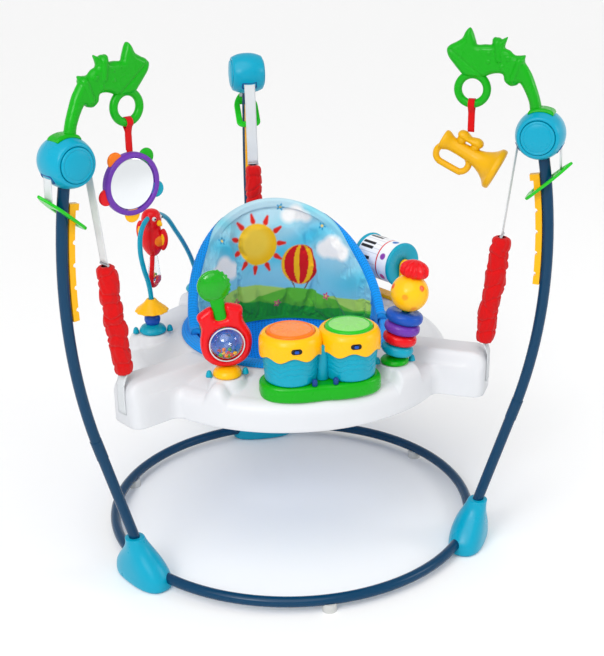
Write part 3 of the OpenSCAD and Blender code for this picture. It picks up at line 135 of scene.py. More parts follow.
def grid(name, points, loop_u=False, loop_v=False, caps=False):
    """Four-sided faces over points[i, j]. A looped direction joins its last row to its first. caps closes the
    first and the last row with a face each, or one of them where it is a pair. UV is metres both ways."""
    points = np.asarray(points, float)
    n, m = points.shape[:2]
    i, j = np.meshgrid(np.arange(n if loop_u else n - 1), np.arange(m if loop_v else m - 1), indexing="ij")
    ci = np.stack([i, i + 1, i + 1, i], -1).reshape(-1, 4)
    cj = np.stack([j, j, j + 1, j + 1], -1).reshape(-1, 4)
    u = np.append(0, np.cumsum(np.linalg.norm(np.roll(points, -1, 0) - points, axis=-1).mean(1)))
    v = np.append(0, np.cumsum(np.linalg.norm(np.roll(points, -1, 1) - points, axis=-1).mean(0)))
    uv = np.stack([u[ci], v[cj]], -1).reshape(-1, 2) / 1000
    faces = ((ci % n) * m + cj % m).tolist()
    for end, closed in zip((0, n - 1), (caps, caps) if isinstance(caps, bool) else caps):
        if closed:
            faces.append(list(range(end * m, (end + 1) * m)))
            uv = np.vstack([uv, np.zeros((m, 2))])
    return solid(name, points.reshape(-1, 3), faces, uv)


def tint(code):
    """A colour written as #rrggbb, as linear light with full cover: the screen's curve is undone."""
    c = np.array([int(code[k:k + 2], 16) for k in (1, 3, 5)]) / 255
    return np.append(np.where(c < 0.04045, c / 12.92, ((c + 0.055) / 1.055) ** 2.4), 1.0)


def nodes_of(name):
    """A new node material: the material, its tree, its shader and a maker of linked nodes."""
    mat = bpy.data.materials.new(name)
    mat.use_nodes = True
    tree = mat.node_tree

    def make(kind, **inputs):
        """A node whose inputs are linked where a socket is given and set where a value is."""
        node = tree.nodes.new(kind)
        for key, value in inputs.items():
            key = key.replace("_", " ")
            if isinstance(value, bpy.types.NodeSocket):
                tree.links.new(value, node.inputs[key])
            else:
                node.inputs[key].default_value = value
        return node

    return mat, tree, tree.nodes["Principled BSDF"], make


def plastic(name, code, rough=0.3, grain=0.12, through=0.0, metal=0.0, coat=0.0, pit=0.00012, printed=False,
            vary=0.07, shine=0.27):
    """Moulded plastic, paint or metal. A cloudy noise darkens the colour by up to vary and shifts the gloss
    round rough, and a fine noise stands up by pit as moulded grain. A printed piece takes its colour from its
    points."""
    mat, tree, shader, make = nodes_of(name)
    place = make("ShaderNodeTexCoord").outputs["Object"]
    cloud = make("ShaderNodeTexNoise", Vector=place, Scale=26.0, Detail=3.0)
    fine = make("ShaderNodeTexNoise", Vector=place, Scale=1500.0, Detail=2.0)
    shade = make("ShaderNodeMix")
    shade.data_type, shade.blend_type = "RGBA", "MULTIPLY"
    tree.links.new(cloud.outputs["Fac"], shade.inputs[0])
    if printed:
        dye = make("ShaderNodeVertexColor")
        dye.layer_name = "print"
        tree.links.new(dye.outputs["Color"], shade.inputs[6])
    else:
        shade.inputs[6].default_value = tint(code)
    shade.inputs[7].default_value = (1 - vary, 1 - vary, 1 - vary, 1)
    tree.links.new(shade.outputs[2], shader.inputs["Base Color"])
    gloss = make("ShaderNodeMapRange", Value=cloud.outputs["Fac"], To_Min=max(rough - 0.06, 0.02),
                 To_Max=rough + 0.08)
    tree.links.new(gloss.outputs["Result"], shader.inputs["Roughness"])
    bump = make("ShaderNodeBump", Height=fine.outputs["Fac"], Strength=grain, Distance=pit)
    tree.links.new(bump.outputs["Normal"], shader.inputs["Normal"])
    shader.inputs["Metallic"].default_value = metal
    shader.inputs["Specular IOR Level"].default_value = shine
    shader.inputs["Coat Weight"].default_value = coat
    shader.inputs["Subsurface Weight"].default_value = through
    shader.inputs["Subsurface Radius"].default_value = (0.006, 0.006, 0.006)
    return mat


a = around(120)[None, :]
floor = grid("floor", np.stack([floor_r * np.cos(a), floor_r * np.sin(a), floor_z + 0 * a], -1), loop_v=True,
             caps=(True, False))
floor.data.materials.append(plastic("pale_floor", "#fbfbfb", rough=0.75, grain=0.02, vary=0.01))

# Floor ring and posts. Bent steel tubes with gloss enamel, pushed into the feet and towers. The CAD tubes
# stay and are painted here, with the rubber pads under the ring, the steel screws, bars and yokes, and the
# moulded racks on the posts.
tube_paint = plastic("tube_paint", "#003a5c", rough=0.22, grain=0.06, shine=0.25)
rubber = plastic("grey_rubber", "#c9cac8", rough=0.7, grain=0.4)
steel = plastic("steel", "#b6b9be", rough=0.3, metal=1.0, grain=0.2)
amber = plastic("amber_plastic", "#fbb603", rough=0.27)


def keep(material, *nodes):
    """Gives CAD nodes, whose shape is right, a finished material."""
    for node in nodes:
        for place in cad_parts[node].material_slots:
            place.material = material


keep(tube_paint, "base_tubes", "post_left", "post_right", "post_back")
keep(rubber, "floor_pads")
keep(steel, "frame_screws", "strap_bars", "strap_yokes")
keep(amber, "height_racks")

# Feet. Moulded plastic boots, one at each post. Each swells from a round collar on the post to a long sole
# over the floor ring, where two screws from below hold the tubes.
ring_r = 345
posts = {"left": 210, "right": 330, "back": 90}
foot_levels = np.array([  # height, shift out, half width, half length, squareness
    (0, 8, 28, 60, 2.6), (2.5, 8, 31.5, 64, 2.6), (9, 8, 33, 66, 2.6), (22, 8.5, 32.5, 64, 2.6),
    (32, 9.5, 31.5, 58.5, 2.5), (43, 11, 29.5, 50, 2.4), (54, 13.2, 26.5, 40, 2.3), (64, 15.5, 23.6, 31, 2.2),
    (74, 18.2, 20.9, 23.8, 2.1), (83, 20.6, 18.8, 19.4, 2), (89.5, 22.4, 17.7, 17.7, 2),
    (91.6, 23, 16.4, 16.4, 2), (92, 23.1, 9.8, 9.8, 2)])
sky = plastic("sky_plastic", "#009fbf", rough=0.28, grain=0.1)


def at_post(deg, r, t, z):
    """A point of one post's own plane: r away from the middle, t along the ring, z up."""
    a = math.radians(deg)
    r, t, z = np.broadcast_arrays(*(np.asarray(v, float) for v in (r, t, z)))
    return np.stack([r * math.cos(a) - t * math.sin(a), r * math.sin(a) + t * math.cos(a), z], -1)


def spline(points, steps, loop=False):
    """A smooth curve through points: Catmull-Rom, steps points to each stretch."""
    p = np.asarray(points, float)
    n = len(p)
    k = np.arange(n if loop else n - 1)
    pick = (lambda d: p[(k + d) % n]) if loop else (lambda d: p[np.clip(k + d, 0, n - 1)])
    a, b, c, d = (pick(s)[:, None] for s in (-1, 0, 1, 2))
    t = (np.arange(steps) / steps)[None, :, None]
    line = 0.5 * (2 * b + (c - a) * t + (2 * a - 5 * b + 4 * c - d) * t ** 2
                  + (3 * b - a - 3 * c + d) * t ** 3)
    line = line.reshape(-1, p.shape[1])
    return line if loop else np.vstack([line, p[-1:]])


def squared(wave, power):
    """A sine or cosine drawn towards a square wave: its sign times its size to a power below 1."""
    return np.sign(wave) * np.abs(wave) ** power


def dress(obj, material, body, slot, *nodes):
    """Paints a piece, seats it on its body, and hides the CAD nodes it stands for."""
    obj.data.materials.clear()
    obj.data.materials.append(material)
    if nodes:
        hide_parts(*nodes)
    if body:
        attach(obj, body)
    return obj


high, shift, wide, long, square = spline(foot_levels, 3).T[:, :, None]
foot_out = ring_r + shift + wide * squared(np.cos(around(72)), 2 / square)
foot_along = long * squared(np.sin(around(72)), 2 / square)
for name, deg in posts.items():
    boot = at_post(deg, foot_out, foot_along, np.maximum(high, 0))
    foot = grid("foot_" + name, boot, loop_v=True, caps=True)
    dress(foot, sky, "frame", "sky_plastic", "feet")

# Strap towers. Moulded barrel housings on the tops of the posts, each with a rim and a pressed-in domed
# cover on both sides. Two lipped slots in the underside let the strap in and out; they aren't cut into the
# barrel, and their lips are navy, painted shade for the openings.
tower_r, tower_z = 443.925, 786.0
barrel_mid, barrel_fall, barrel_half = 41, 7, 30.5
rim_shape = [(32.8, 31.6), (30.6, 32), (28.9, 31.6), (28.5, 30.6), (28.5, 29.6), (0.01, 29.5)]
lid = [(28, 29.5), (28, 33), (27.2, 34.3), (24.6, 34.9), (23.8, 34.3), (22.8, 34.4), (21.8, 35.2), (16, 36.2),
       (8, 36.8), (0.01, 37)]
slot_off, slot_x, slot_y, lip_r = 33.9, 3.4, 14.5, 1.3
# Navy is the drum pegs' own colour; on the towers' slot lips it is painted shade.
navy = plastic("navy_plastic", "#123f86", rough=0.3)


def unit(v):
    """The same direction with length 1."""
    return np.asarray(v, float) / np.linalg.norm(v)


def basis(axis):
    """Three square directions, the last along axis; the first lies level where it can."""
    z = unit(axis)
    x = unit(np.cross((0, 1, 0) if abs(z[1]) < 0.9 else (1, 0, 0), z))
    return x, np.cross(z, x), z


def rounded(profile, radius, steps=4):
    """A line of points with each inner corner replaced by a small parabola that starts radius from it."""
    p = np.asarray(profile, float)
    out = [p[0]]
    t = np.linspace(0, 1, steps + 1)[:, None]
    for a, b, c in zip(p[:-2], p[1:-1], p[2:]):
        before = b + (a - b) * min(radius / max(np.linalg.norm(a - b), 1e-9), 0.48)
        after = b + (c - b) * min(radius / max(np.linalg.norm(c - b), 1e-9), 0.48)
        out.extend((1 - t) ** 2 * before + 2 * t * (1 - t) * b + t ** 2 * after)
    return np.array(out + [p[-1]])


def revolve(name, profile, base=(0, 0, 0), axis=(0, 0, 1), count=72, shape=None, ends="cap"):
    """(radius, height) points turned about an axis through base; shape(r, h, angle) may move them. The line's
    two ends get a cap each, join into a ring or stay open. A line that comes back to its start is a ring."""
    x, y, z = basis(axis)
    a = around(count)
    p = np.asarray(profile, float)
    if np.allclose(p[0], p[-1]):
        p, ends = p[:-1], "join"
    r, h = np.repeat(p[:, :1], count, 1), np.repeat(p[:, 1:], count, 1)
    if shape:
        r, h = shape(r, h, a[None, :])
    spoke = np.cos(a)[:, None] * x + np.sin(a)[:, None] * y
    points = np.asarray(base) + r[..., None] * spoke + h[..., None] * z
    return grid(name, points, loop_u=ends == "join", loop_v=True, caps=ends == "cap")


def sweep(name, path, radius, sides=20, side_way=(0, 0, 1)):
    """A round bar along a path: a circle square to the path at each point, of one radius or of one per point.
    A path that comes back to its start makes a ring. side_way is never along the path."""
    path = np.asarray(path, float)
    closed = np.allclose(path[0], path[-1])
    if closed:
        path = path[:-1]
    t = np.roll(path, -1, 0) - np.roll(path, 1, 0) if closed else np.gradient(path, axis=0)
    t /= np.linalg.norm(t, axis=1)[:, None]
    u = np.cross(np.asarray(side_way, float), t)
    u /= np.linalg.norm(u, axis=1)[:, None]
    w = np.cross(t, u)
    a = around(sides)[None, :, None]
    r = np.broadcast_to(radius, len(path))[:, None, None]
    ring = np.cos(a) * u[:, None] + np.sin(a) * w[:, None]
    return grid(name, path[:, None] + r * ring, loop_u=closed, loop_v=True, caps=not closed)


def barrel_r(t):
    """Radius of the barrel at a distance t along it: full in the middle, less by a power 2.3 of t."""
    return barrel_mid - barrel_fall * np.abs(t / barrel_half) ** 2.3


barrel_t = barrel_half * np.linspace(0, 1, 12)
barrel = np.vstack([np.column_stack([barrel_r(barrel_t), barrel_t]), rim_shape])
barrel = np.vstack([barrel[::-1] * (1, -1), barrel[1:]])
for name, deg in posts.items():
    centre, tangent = at_post(deg, tower_r, 0, tower_z), at_post(deg, 0, 1, 0)
    dress(revolve("tower_" + name, barrel, centre, tangent, 96), sky, "frame", "sky_plastic", "towers")
    for way, word in ((1, "near"), (-1, "far")):
        cover = revolve("cover_%s_%s" % (name, word), rounded(lid, 0.6, 2), centre, way * tangent, 72)
        dress(cover, sky, "frame", "sky_plastic", "tower_covers")
    for way, word in ((1, "outer"), (-1, "inner")):
        lip_x, lip_y = rounded([(-slot_x, -slot_y), (slot_x, -slot_y), (slot_x, slot_y), (-slot_x, slot_y),
                                (-slot_x, -slot_y)], 2.5).T
        lip_x = lip_x + way * slot_off
        drop = np.sqrt(np.maximum(barrel_r(lip_y) ** 2 - lip_x ** 2, 0))
        lip_line = at_post(deg, tower_r + lip_x, lip_y, tower_z - drop)
        # A navy lip round each slot: painted shade that draws the opening.
        lip = sweep("slot_%s_%s" % (name, word), lip_line, lip_r, 8, at_post(deg, way * 0.8, 0, 1))
        dress(lip, navy, "frame", "sky_plastic", "towers")

# Toy arms. Thick plastic mouldings in the form of a lizard, rolled at the edges, with raised legs and back
# spots. The tail sits on the tower by a saddle, and a round ring under the chin carries a toy.
arm_reach, arm_rise = -158, 174
arm_shares = np.array([
    (0.002, 0.2), (0.024, 0.323), (0.068, 0.438), (0.12, 0.552), (0.166, 0.62), (0.203, 0.672),
    (0.198, 0.728), (0.25, 0.726), (0.308, 0.728), (0.359, 0.767), (0.412, 0.796), (0.388, 0.886),
    (0.417, 0.882), (0.455, 0.869), (0.515, 0.886), (0.544, 0.867), (0.554, 0.819), (0.62, 0.816),
    (0.698, 0.811), (0.716, 0.846), (0.748, 0.925), (0.782, 0.966), (0.826, 0.93), (0.86, 0.868),
    (0.92, 0.83), (0.988, 0.797), (1.018, 0.757), (0.998, 0.69), (0.939, 0.622), (0.88, 0.56),
    (0.83, 0.515), (0.762, 0.502), (0.682, 0.502), (0.617, 0.508), (0.567, 0.532), (0.489, 0.551),
    (0.422, 0.541), (0.401, 0.481), (0.341, 0.44), (0.277, 0.448), (0.239, 0.467), (0.182, 0.386),
    (0.138, 0.294), (0.11, 0.2)])
arm_legs = (((0.49, 0.835), (0.465, 0.68)), ((0.255, 0.675), (0.315, 0.505)))
arm_spots = ((0.37, 0.7), (0.43, 0.62), (0.57, 0.66), (0.57, 0.74), (0.65, 0.76))
arm_half, arm_roll, leg_half, leg_r = 10, 9, 12.6, 8.5
spot_r, spot_less, spot_off = 5.2, 0.4, 9.2
pair = ((-1, "a"), (1, "b"))
ring_at = np.array([327.953, 854.034])
ring_mid, ring_bar = 24.25, 6.75
saddle_low, saddle_edge, saddle_crown, saddle_y, saddle_turn = 39.2, 41.3, 3.7, 15.5, 31
green = plastic("green_plastic", "#06a80b", rough=0.27, through=0.05)


def puff(name, outlines, half, roll, where, step=2.2, carve=None):
    """A moulding with a soft edge: at a distance d inside its outline it reaches to each side by
    half * sqrt(1 - (1 - d / roll)^2), and by half from roll inwards. Outlines after the first are holes;
    carve(x, y) may lower it."""
    lines = [np.asarray(line, float) for line in outlines]
    rim, after = np.vstack(lines), np.vstack([np.roll(line, -1, 0) for line in lines])
    run = after - rim

    def inside(p):
        """Whether points lie in the outline and not in a hole: an odd count of edges to their right."""
        cross = (rim[:, 1] > p[:, 1:]) != (after[:, 1] > p[:, 1:])
        at = rim[:, 0] + (p[:, 1:] - rim[:, 1]) * run[:, 0] / np.where(run[:, 1] == 0, 1e-9, run[:, 1])
        return (cross & (p[:, :1] < at)).sum(1) % 2 == 1

    def gap(p):
        """Distance to the nearest edge of the outline."""
        t = ((p[:, None] - rim) * run).sum(-1) / np.maximum((run ** 2).sum(-1), 1e-12)
        return np.linalg.norm(p[:, None] - rim - np.clip(t, 0, 1)[..., None] * run, axis=-1).min(1)

    chord = after - np.vstack([np.roll(line, 1, 0) for line in lines])
    normal = np.column_stack([-chord[:, 1], chord[:, 0]]) / np.linalg.norm(chord, axis=1)[:, None]
    x, y = np.meshgrid(*(np.arange(low, high, step) for low, high in zip(rim.min(0), rim.max(0))))
    spots = [(np.column_stack([x.ravel(), y.ravel()]), 0.2 * roll + 0.8)]
    spots += [(rim + way * d * normal, 0.93 * d) for d in (0.02 * roll, 0.08 * roll, 0.2 * roll)
              for way in (-1, 1)]
    fill = np.vstack([p[inside(p)][gap(p[inside(p)]) > least] for p, least in spots])
    fill = fill[np.unique(np.round(fill / 0.25), axis=0, return_index=True)[1]]
    edges, start = [], 0
    for line in lines:
        edges += [(start + k, start + (k + 1) % len(line)) for k in range(len(line))]
        start += len(line)
    flat, _, cells = geometry.delaunay_2d_cdt(np.vstack([rim, fill]).tolist(), edges, [], 0, 1e-5, False)[:3]
    flat, cells = np.array(flat), np.array(cells)
    cells = cells[inside(flat[cells].mean(1))]
    away = gap(flat)
    high = half * np.sqrt(1 - (1 - np.clip(away / roll, 0, 1)) ** 2)
    if carve:
        high = np.maximum(high - carve(flat[:, 0], flat[:, 1]), 0)
    under = np.where(away < 1e-3, np.arange(len(flat)), len(flat) + np.arange(len(flat)))
    points = np.vstack([where(flat[:, 0], flat[:, 1], high), where(flat[:, 0], flat[:, 1], -high)])
    used, faces = np.unique(np.vstack([cells, under[cells[:, ::-1]]]), return_inverse=True)
    return solid(name, points[used], faces.reshape(-1, 3).tolist())


def ball(name, centre, r, count=40, axis=(0, 0, 1), squash=1.0):
    """A round knob: a half circle turned about its axis, flattened along it by squash."""
    a = np.linspace(-np.pi / 2, np.pi / 2, count // 2)
    return revolve(name, np.column_stack([r * np.cos(a) + 1e-3, r * squash * np.sin(a)]), centre, axis, count)


def smoothstep(a, b, x):
    """0 below a, 1 above b, with an easy slope between: 3 t^2 - 2 t^3."""
    t = np.clip((x - a) / (b - a), 0, 1)
    return t * t * (3 - 2 * t)


def arm_at(share):
    """Shares of the arm's reach and rise, as radius and height."""
    return np.asarray(share) * (arm_reach, arm_rise) + (tower_r, tower_z)


def pill(a, b, r):
    """Outline of a bar with round ends: a half circle of radius r about each end."""
    a, b = np.asarray(a, float), np.asarray(b, float)
    turn = math.atan2(b[1] - a[1], b[0] - a[0])
    t = np.linspace(-np.pi / 2, np.pi / 2, 13)
    arc = np.column_stack([np.cos(t + turn), np.sin(t + turn)]) * r
    return np.vstack([b + arc, a - arc])


def jaw(x, y):
    """A shallow groove from the chin to the cheek: a bell curve of the distance to its line."""
    a, b = arm_at((0.83, 0.664)), arm_at((0.64, 0.53))
    t = np.clip(((x - a[0]) * (b - a)[0] + (y - a[1]) * (b - a)[1]) / ((b - a) @ (b - a)), -0.9, 1)
    return 1.8 * np.exp(-((np.hypot(x - a[0] - t * (b - a)[0], y - a[1] - t * (b - a)[1]) / 1.5) ** 2))


u, v = np.meshgrid(np.linspace(-1, 1, 25), np.linspace(-1, 1, 25), indexing="ij")
ease = 1 - smoothstep(0.72, 1, np.maximum(np.abs(u), np.abs(v)))
lift = np.hstack([saddle_edge + saddle_crown * np.sqrt(np.clip(ease, 0, 1)), saddle_low + 0 * u])
tilt = np.radians(90 - saddle_turn * np.hstack([u, u]))
over = saddle_y * np.hstack([v, v[:, ::-1]])
arm_line = spline(arm_at(arm_shares), 5, loop=True)
toy_ring_line = np.column_stack([ring_mid + ring_bar * np.cos(around(40)), ring_bar * np.sin(around(40))])
for name in ("left", "right"):
    deg = posts[name]
    along = at_post(deg, 0, 1, 0)

    def stand(x, y, z):
        """From the arm's flat outline to its upright plane."""
        return at_post(deg, x, z, y)

    pieces = [puff("arm_moulding_" + name, [arm_line], arm_half, arm_roll, stand, carve=jaw)]
    pieces += [puff("arm_leg_%s_%d" % (name, k), [pill(*arm_at(leg), leg_r)], leg_half, leg_r, stand)
               for k, leg in enumerate(arm_legs)]
    ring_c = at_post(deg, ring_at[0], 0, ring_at[1])
    pieces.append(revolve("arm_ring_" + name, toy_ring_line, ring_c, along, 72, ends="join"))
    for k, spot in enumerate(arm_spots):
        x, z = arm_at(spot)
        pieces += [ball("arm_spot_%s_%d_%s" % (name, k, word), at_post(deg, x, way * spot_off, z),
                        spot_r - spot_less * k, 24, along, 0.4) for way, word in pair]
    saddle = at_post(deg, tower_r + lift * np.cos(tilt), over, tower_z + lift * np.sin(tilt))
    pieces.append(grid("arm_saddle_" + name, saddle, loop_v=True, caps=True))
    for piece in pieces:
        dress(piece, green, "frame", "green_plastic", "arm_" + name)

# Height adjusters. Thin leaf-shaped plastic slides, one on each post, slotted round post and rack. A raised
# vein runs to the tip, with two short veins on each side.
leaf_r, leaf_z, leaf_tilt = 458.182, 706.0, math.radians(42)
leaf_tip, leaf_half, leaf_thick, leaf_edge = 54, 25, 5, 1.8
heel_x, heel_r = -29.5, 12.5
slot_in, slot_out, slot_half = 29.4933, 16.1899, 12.5
leaf_veins = ((18.5, 50, 0), (22, 30, 13), (22, 30, -13), (31, 38, 8), (31, 38, -8))
vein_z, vein_r = 2.3, 1.1
leaf_green = plastic("leaf_plastic", "#22c01f", rough=0.25, through=0.25)


def plate(name, outlines, thick, bevel, where):
    """A flat moulding with rolled edges: a filled curve of closed outlines, the first the edge and the others
    holes. where(x, y, z) carries its points into place; z runs through the thickness."""
    curve = bpy.data.curves.new(name, "CURVE")
    curve.dimensions, curve.fill_mode = "2D", "BOTH"
    curve.extrude, curve.bevel_depth = thick / 2 - bevel, bevel
    curve.bevel_resolution, curve.offset = 4, -bevel
    for k, outline in enumerate(outlines):
        x, y = np.asarray(outline, float).T
        if (np.sum(x * np.roll(y, -1) - np.roll(x, -1) * y) > 0) == (k > 0):
            x, y = x[::-1], y[::-1]
        line = curve.splines.new("POLY")
        line.points.add(len(x) - 1)
        line.points.foreach_set("co", np.column_stack([x, y, 0 * x, 0 * x + 1]).ravel())
        line.use_cyclic_u = True
    maker = add(name + "_line", curve)
    mesh = bpy.data.meshes.new_from_object(maker.evaluated_get(bpy.context.evaluated_depsgraph_get()))
    bpy.data.objects.remove(maker)
    shell = bmesh.new()
    shell.from_mesh(mesh)
    bmesh.ops.remove_doubles(shell, verts=shell.verts, dist=1e-3)
    bmesh.ops.triangulate(shell, faces=[f for f in shell.faces if len(f.verts) > 4])
    shell.to_mesh(mesh)
    shell.free()
    co = np.zeros(3 * len(mesh.vertices))
    mesh.vertices.foreach_get("co", co)
    faces = [list(f.vertices) for f in mesh.polygons]
    level = [abs(f.normal.z) > 0.999 for f in mesh.polygons]
    bpy.data.meshes.remove(mesh)
    obj = solid(name, where(*co.reshape(-1, 3).T), faces)
    obj.data.polygons.foreach_set("use_smooth", [not flat for flat in level])
    return obj


t = np.linspace(0, 1, 13)
tip = np.column_stack([slot_out / 2 + (leaf_tip - slot_out / 2) * t, leaf_half * (1 - t ** 2)])
turn = np.linspace(np.pi / 2, np.pi, 9)
heel = np.column_stack([heel_x + heel_r * np.cos(turn), heel_r + heel_r * np.sin(turn)])
upper = np.vstack([tip[::-1], heel])
leaf_line = np.vstack([upper, (upper * (1, -1))[::-1][:-1]])
slot_line = rounded([(-slot_in, 0), (-slot_in, -slot_half), (slot_out, -slot_half), (slot_out, slot_half),
                     (-slot_in, slot_half), (-slot_in, 0)], 3)[:-1]
for name, deg in posts.items():
    def slope(x, y, z):
        """From the leaf's own plane to its tilted place on the post."""
        return at_post(deg, leaf_r + x * math.cos(leaf_tilt) - z * math.sin(leaf_tilt), y,
                       leaf_z + x * math.sin(leaf_tilt) + z * math.cos(leaf_tilt))

    pieces = [plate("leaf_slide_" + name, [leaf_line, slot_line], leaf_thick, leaf_edge, slope)]
    s = np.linspace(0, 1, 9)
    pieces += [sweep("leaf_vein_%s_%d" % (name, k), slope(x0 + (x1 - x0) * s, y1 * s, vein_z + 0 * s),
                     vein_r * (1 - 0.6 * s), 10, at_post(deg, 0, 1, 0.3))
               for k, (x0, x1, y1) in enumerate(leaf_veins)]
    for piece in pieces:
        dress(piece, leaf_green, "adjuster_" + name, "leaf_plastic", "leaf_" + name)

# Straps. White polyester webbing from each leaf up over the tower's bars and down to the spring. It is made
# as one ribbon on each side of the tower; the ribbons sit on no body and stay in place in the scene.
anchor = np.array([366.0, 410.0])
hang = np.array([math.sin(math.radians(6.62578)), math.cos(math.radians(6.62578))])
strap_low = anchor + hang * 201.6
leaf_end = np.array([480.048, 730.3])
bar_off, bar_z, bend_r = 27, 789.0, 6.9
strap_wide, strap_thick = 22, 1.2


def cloth(name, code, pitch=0.0011, depth=0.00025, printed=False, dark=0.72, holes=0.0):
    """Woven cloth: two crossing bands of threads in UV stand up by depth, and the colour runs from dark to
    full with their height, painted shade in the weave's low parts; holes gives the spacing of an open mesh
    instead, whose holes get the same painted shade. A printed piece takes its colour from its points."""
    mat, tree, shader, make = nodes_of(name)
    spot = make("ShaderNodeTexCoord")
    weave = make("ShaderNodeMath")
    weave.operation = "MULTIPLY"
    for k, way in enumerate(("X", "Y")):
        wave = make("ShaderNodeTexWave", Vector=spot.outputs["UV"], Scale=2 * math.pi / 20 / pitch,
                    Distortion=0.6, Detail=1.0, Detail_Scale=2.0)
        wave.bands_direction = way
        tree.links.new(wave.outputs["Fac"], weave.inputs[k])
    height = weave.outputs[0]
    if holes:
        cells = make("ShaderNodeTexVoronoi", Vector=spot.outputs["UV"], Scale=1 / holes, Randomness=0.15)
        pore = make("ShaderNodeMapRange", Value=cells.outputs["Distance"], From_Min=0.16, From_Max=0.34)
        height = pore.outputs["Result"]
    cloud = make("ShaderNodeTexNoise", Vector=spot.outputs["Object"], Scale=34.0, Detail=3.0)
    # Painted shade: the colour is darkest in the weave's low parts and in the mesh's holes, and full on top.
    shade = make("ShaderNodeMix")
    shade.data_type = "RGBA"
    tree.links.new(height, shade.inputs[0])
    soil = make("ShaderNodeMix")
    soil.data_type, soil.blend_type = "RGBA", "MULTIPLY"
    soil.inputs[7].default_value = (0.9, 0.9, 0.9, 1)
    tree.links.new(cloud.outputs["Fac"], soil.inputs[0])
    if printed:
        dye = make("ShaderNodeVertexColor")
        dye.layer_name = "print"
        # The print darkened for the same painted shade in the weave's low parts.
        under = make("ShaderNodeMix")
        under.data_type, under.blend_type = "RGBA", "MULTIPLY"
        under.inputs[0].default_value = 1.0
        under.inputs[7].default_value = (dark, dark, dark, 1)
        tree.links.new(dye.outputs["Color"], under.inputs[6])
        tree.links.new(under.outputs[2], shade.inputs[6])
        tree.links.new(dye.outputs["Color"], shade.inputs[7])
    else:
        shade.inputs[6].default_value = tint(code) * (dark, dark, dark, 1)
        shade.inputs[7].default_value = tint(code)
    tree.links.new(shade.outputs[2], soil.inputs[6])
    tree.links.new(soil.outputs[2], shader.inputs["Base Color"])
    bump = make("ShaderNodeBump", Height=height, Strength=0.5, Distance=depth)
    tree.links.new(bump.outputs["Normal"], shader.inputs["Normal"])
    shader.inputs["Roughness"].default_value = 0.85
    shader.inputs["Sheen Weight"].default_value = 0.12
    shader.inputs["Specular IOR Level"].default_value = 0.2
    return mat


def ribbon(name, line, width, thick, across, where):
    """A flat band along a line, as a closed loop of points round its section. where(x, w, y) carries the
    line's two coordinates and the place across the band into the scene."""
    t = np.gradient(line, axis=0)
    t /= np.linalg.norm(t, axis=1)[:, None]
    normal = np.column_stack([t[:, 1], -t[:, 0]]) * thick / 2
    w = np.linspace(-width / 2, width / 2, across)
    x, y = (np.hstack([np.repeat((line + off)[:, k:k + 1], across, 1) for off in (normal, -normal)])
            for k in (0, 1))
    return grid(name, where(x, np.append(w, w[::-1])[None, :], y), loop_v=True, caps=True)


webbing = cloth("webbing", "#e9edf0", pitch=0.0016, dark=0.8)
turn = np.radians(np.linspace(0, 90, 9))
bend = np.column_stack([bar_off + bend_r * np.cos(turn), bend_r * np.sin(turn)])
inner_top, outer_top = bend * (-1, 1) + (tower_r, bar_z), bend + (tower_r, bar_z)
top_middle = [(tower_r, bar_z + bend_r)]
inner = strap_low + (inner_top[0] - strap_low) * np.linspace(0, 1, 30)[:, None]
outer = leaf_end + (outer_top[0] - leaf_end) * np.linspace(0, 1, 12)[:, None]
strap_sides = (("inner", np.vstack([inner, inner_top[1:], top_middle]), "suspension", inner[-1]),
               ("outer", np.vstack([outer, outer_top[1:], top_middle]), "adjuster_", outer[-1]))
for name, deg in posts.items():
    for word, line, body, top in strap_sides:
        strap = ribbon("strap_%s_%s" % (word, name), line, strap_wide, strap_thick, 7, partial(at_post, deg))
        dress(strap, webbing, None, "webbing", "straps")
        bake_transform(strap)

# Springs and sleeves. A wound steel coil hangs in each sleeve of gathered red cloth. On the toy both stretch
# when the tray bounces; here they sit on no body and keep their length. A webbing tab, let into the end of
# each tray arm, holds the spring's lower end.
sleeve_long, sleeve_r, sleeve_least = 196, 15.6, 12.2
coil_low, coil_high, coil_turns, coil_r, wire_r = 3.9, 189.2, 14, 9, 1.3
tab_thick = 1.6
tab_line = np.array([(375.1, 336.5), (375.1, 385), (374.6, 390), (371.5, 399.5), (367, 408.4)])
red_cloth = cloth("red_cloth", "#e4050a", pitch=0.0010, dark=0.78)
cross_r = np.array([hang[1], -hang[0]])


def about_spring(deg, s, r, a):
    """A point at a distance s up a spring's line, r away from it at the angle a."""
    line = anchor + hang * s[..., None]
    out = (r * np.cos(a))[..., None] * cross_r
    return at_post(deg, line[..., 0] + out[..., 0], r * np.sin(a), line[..., 1] + out[..., 1])


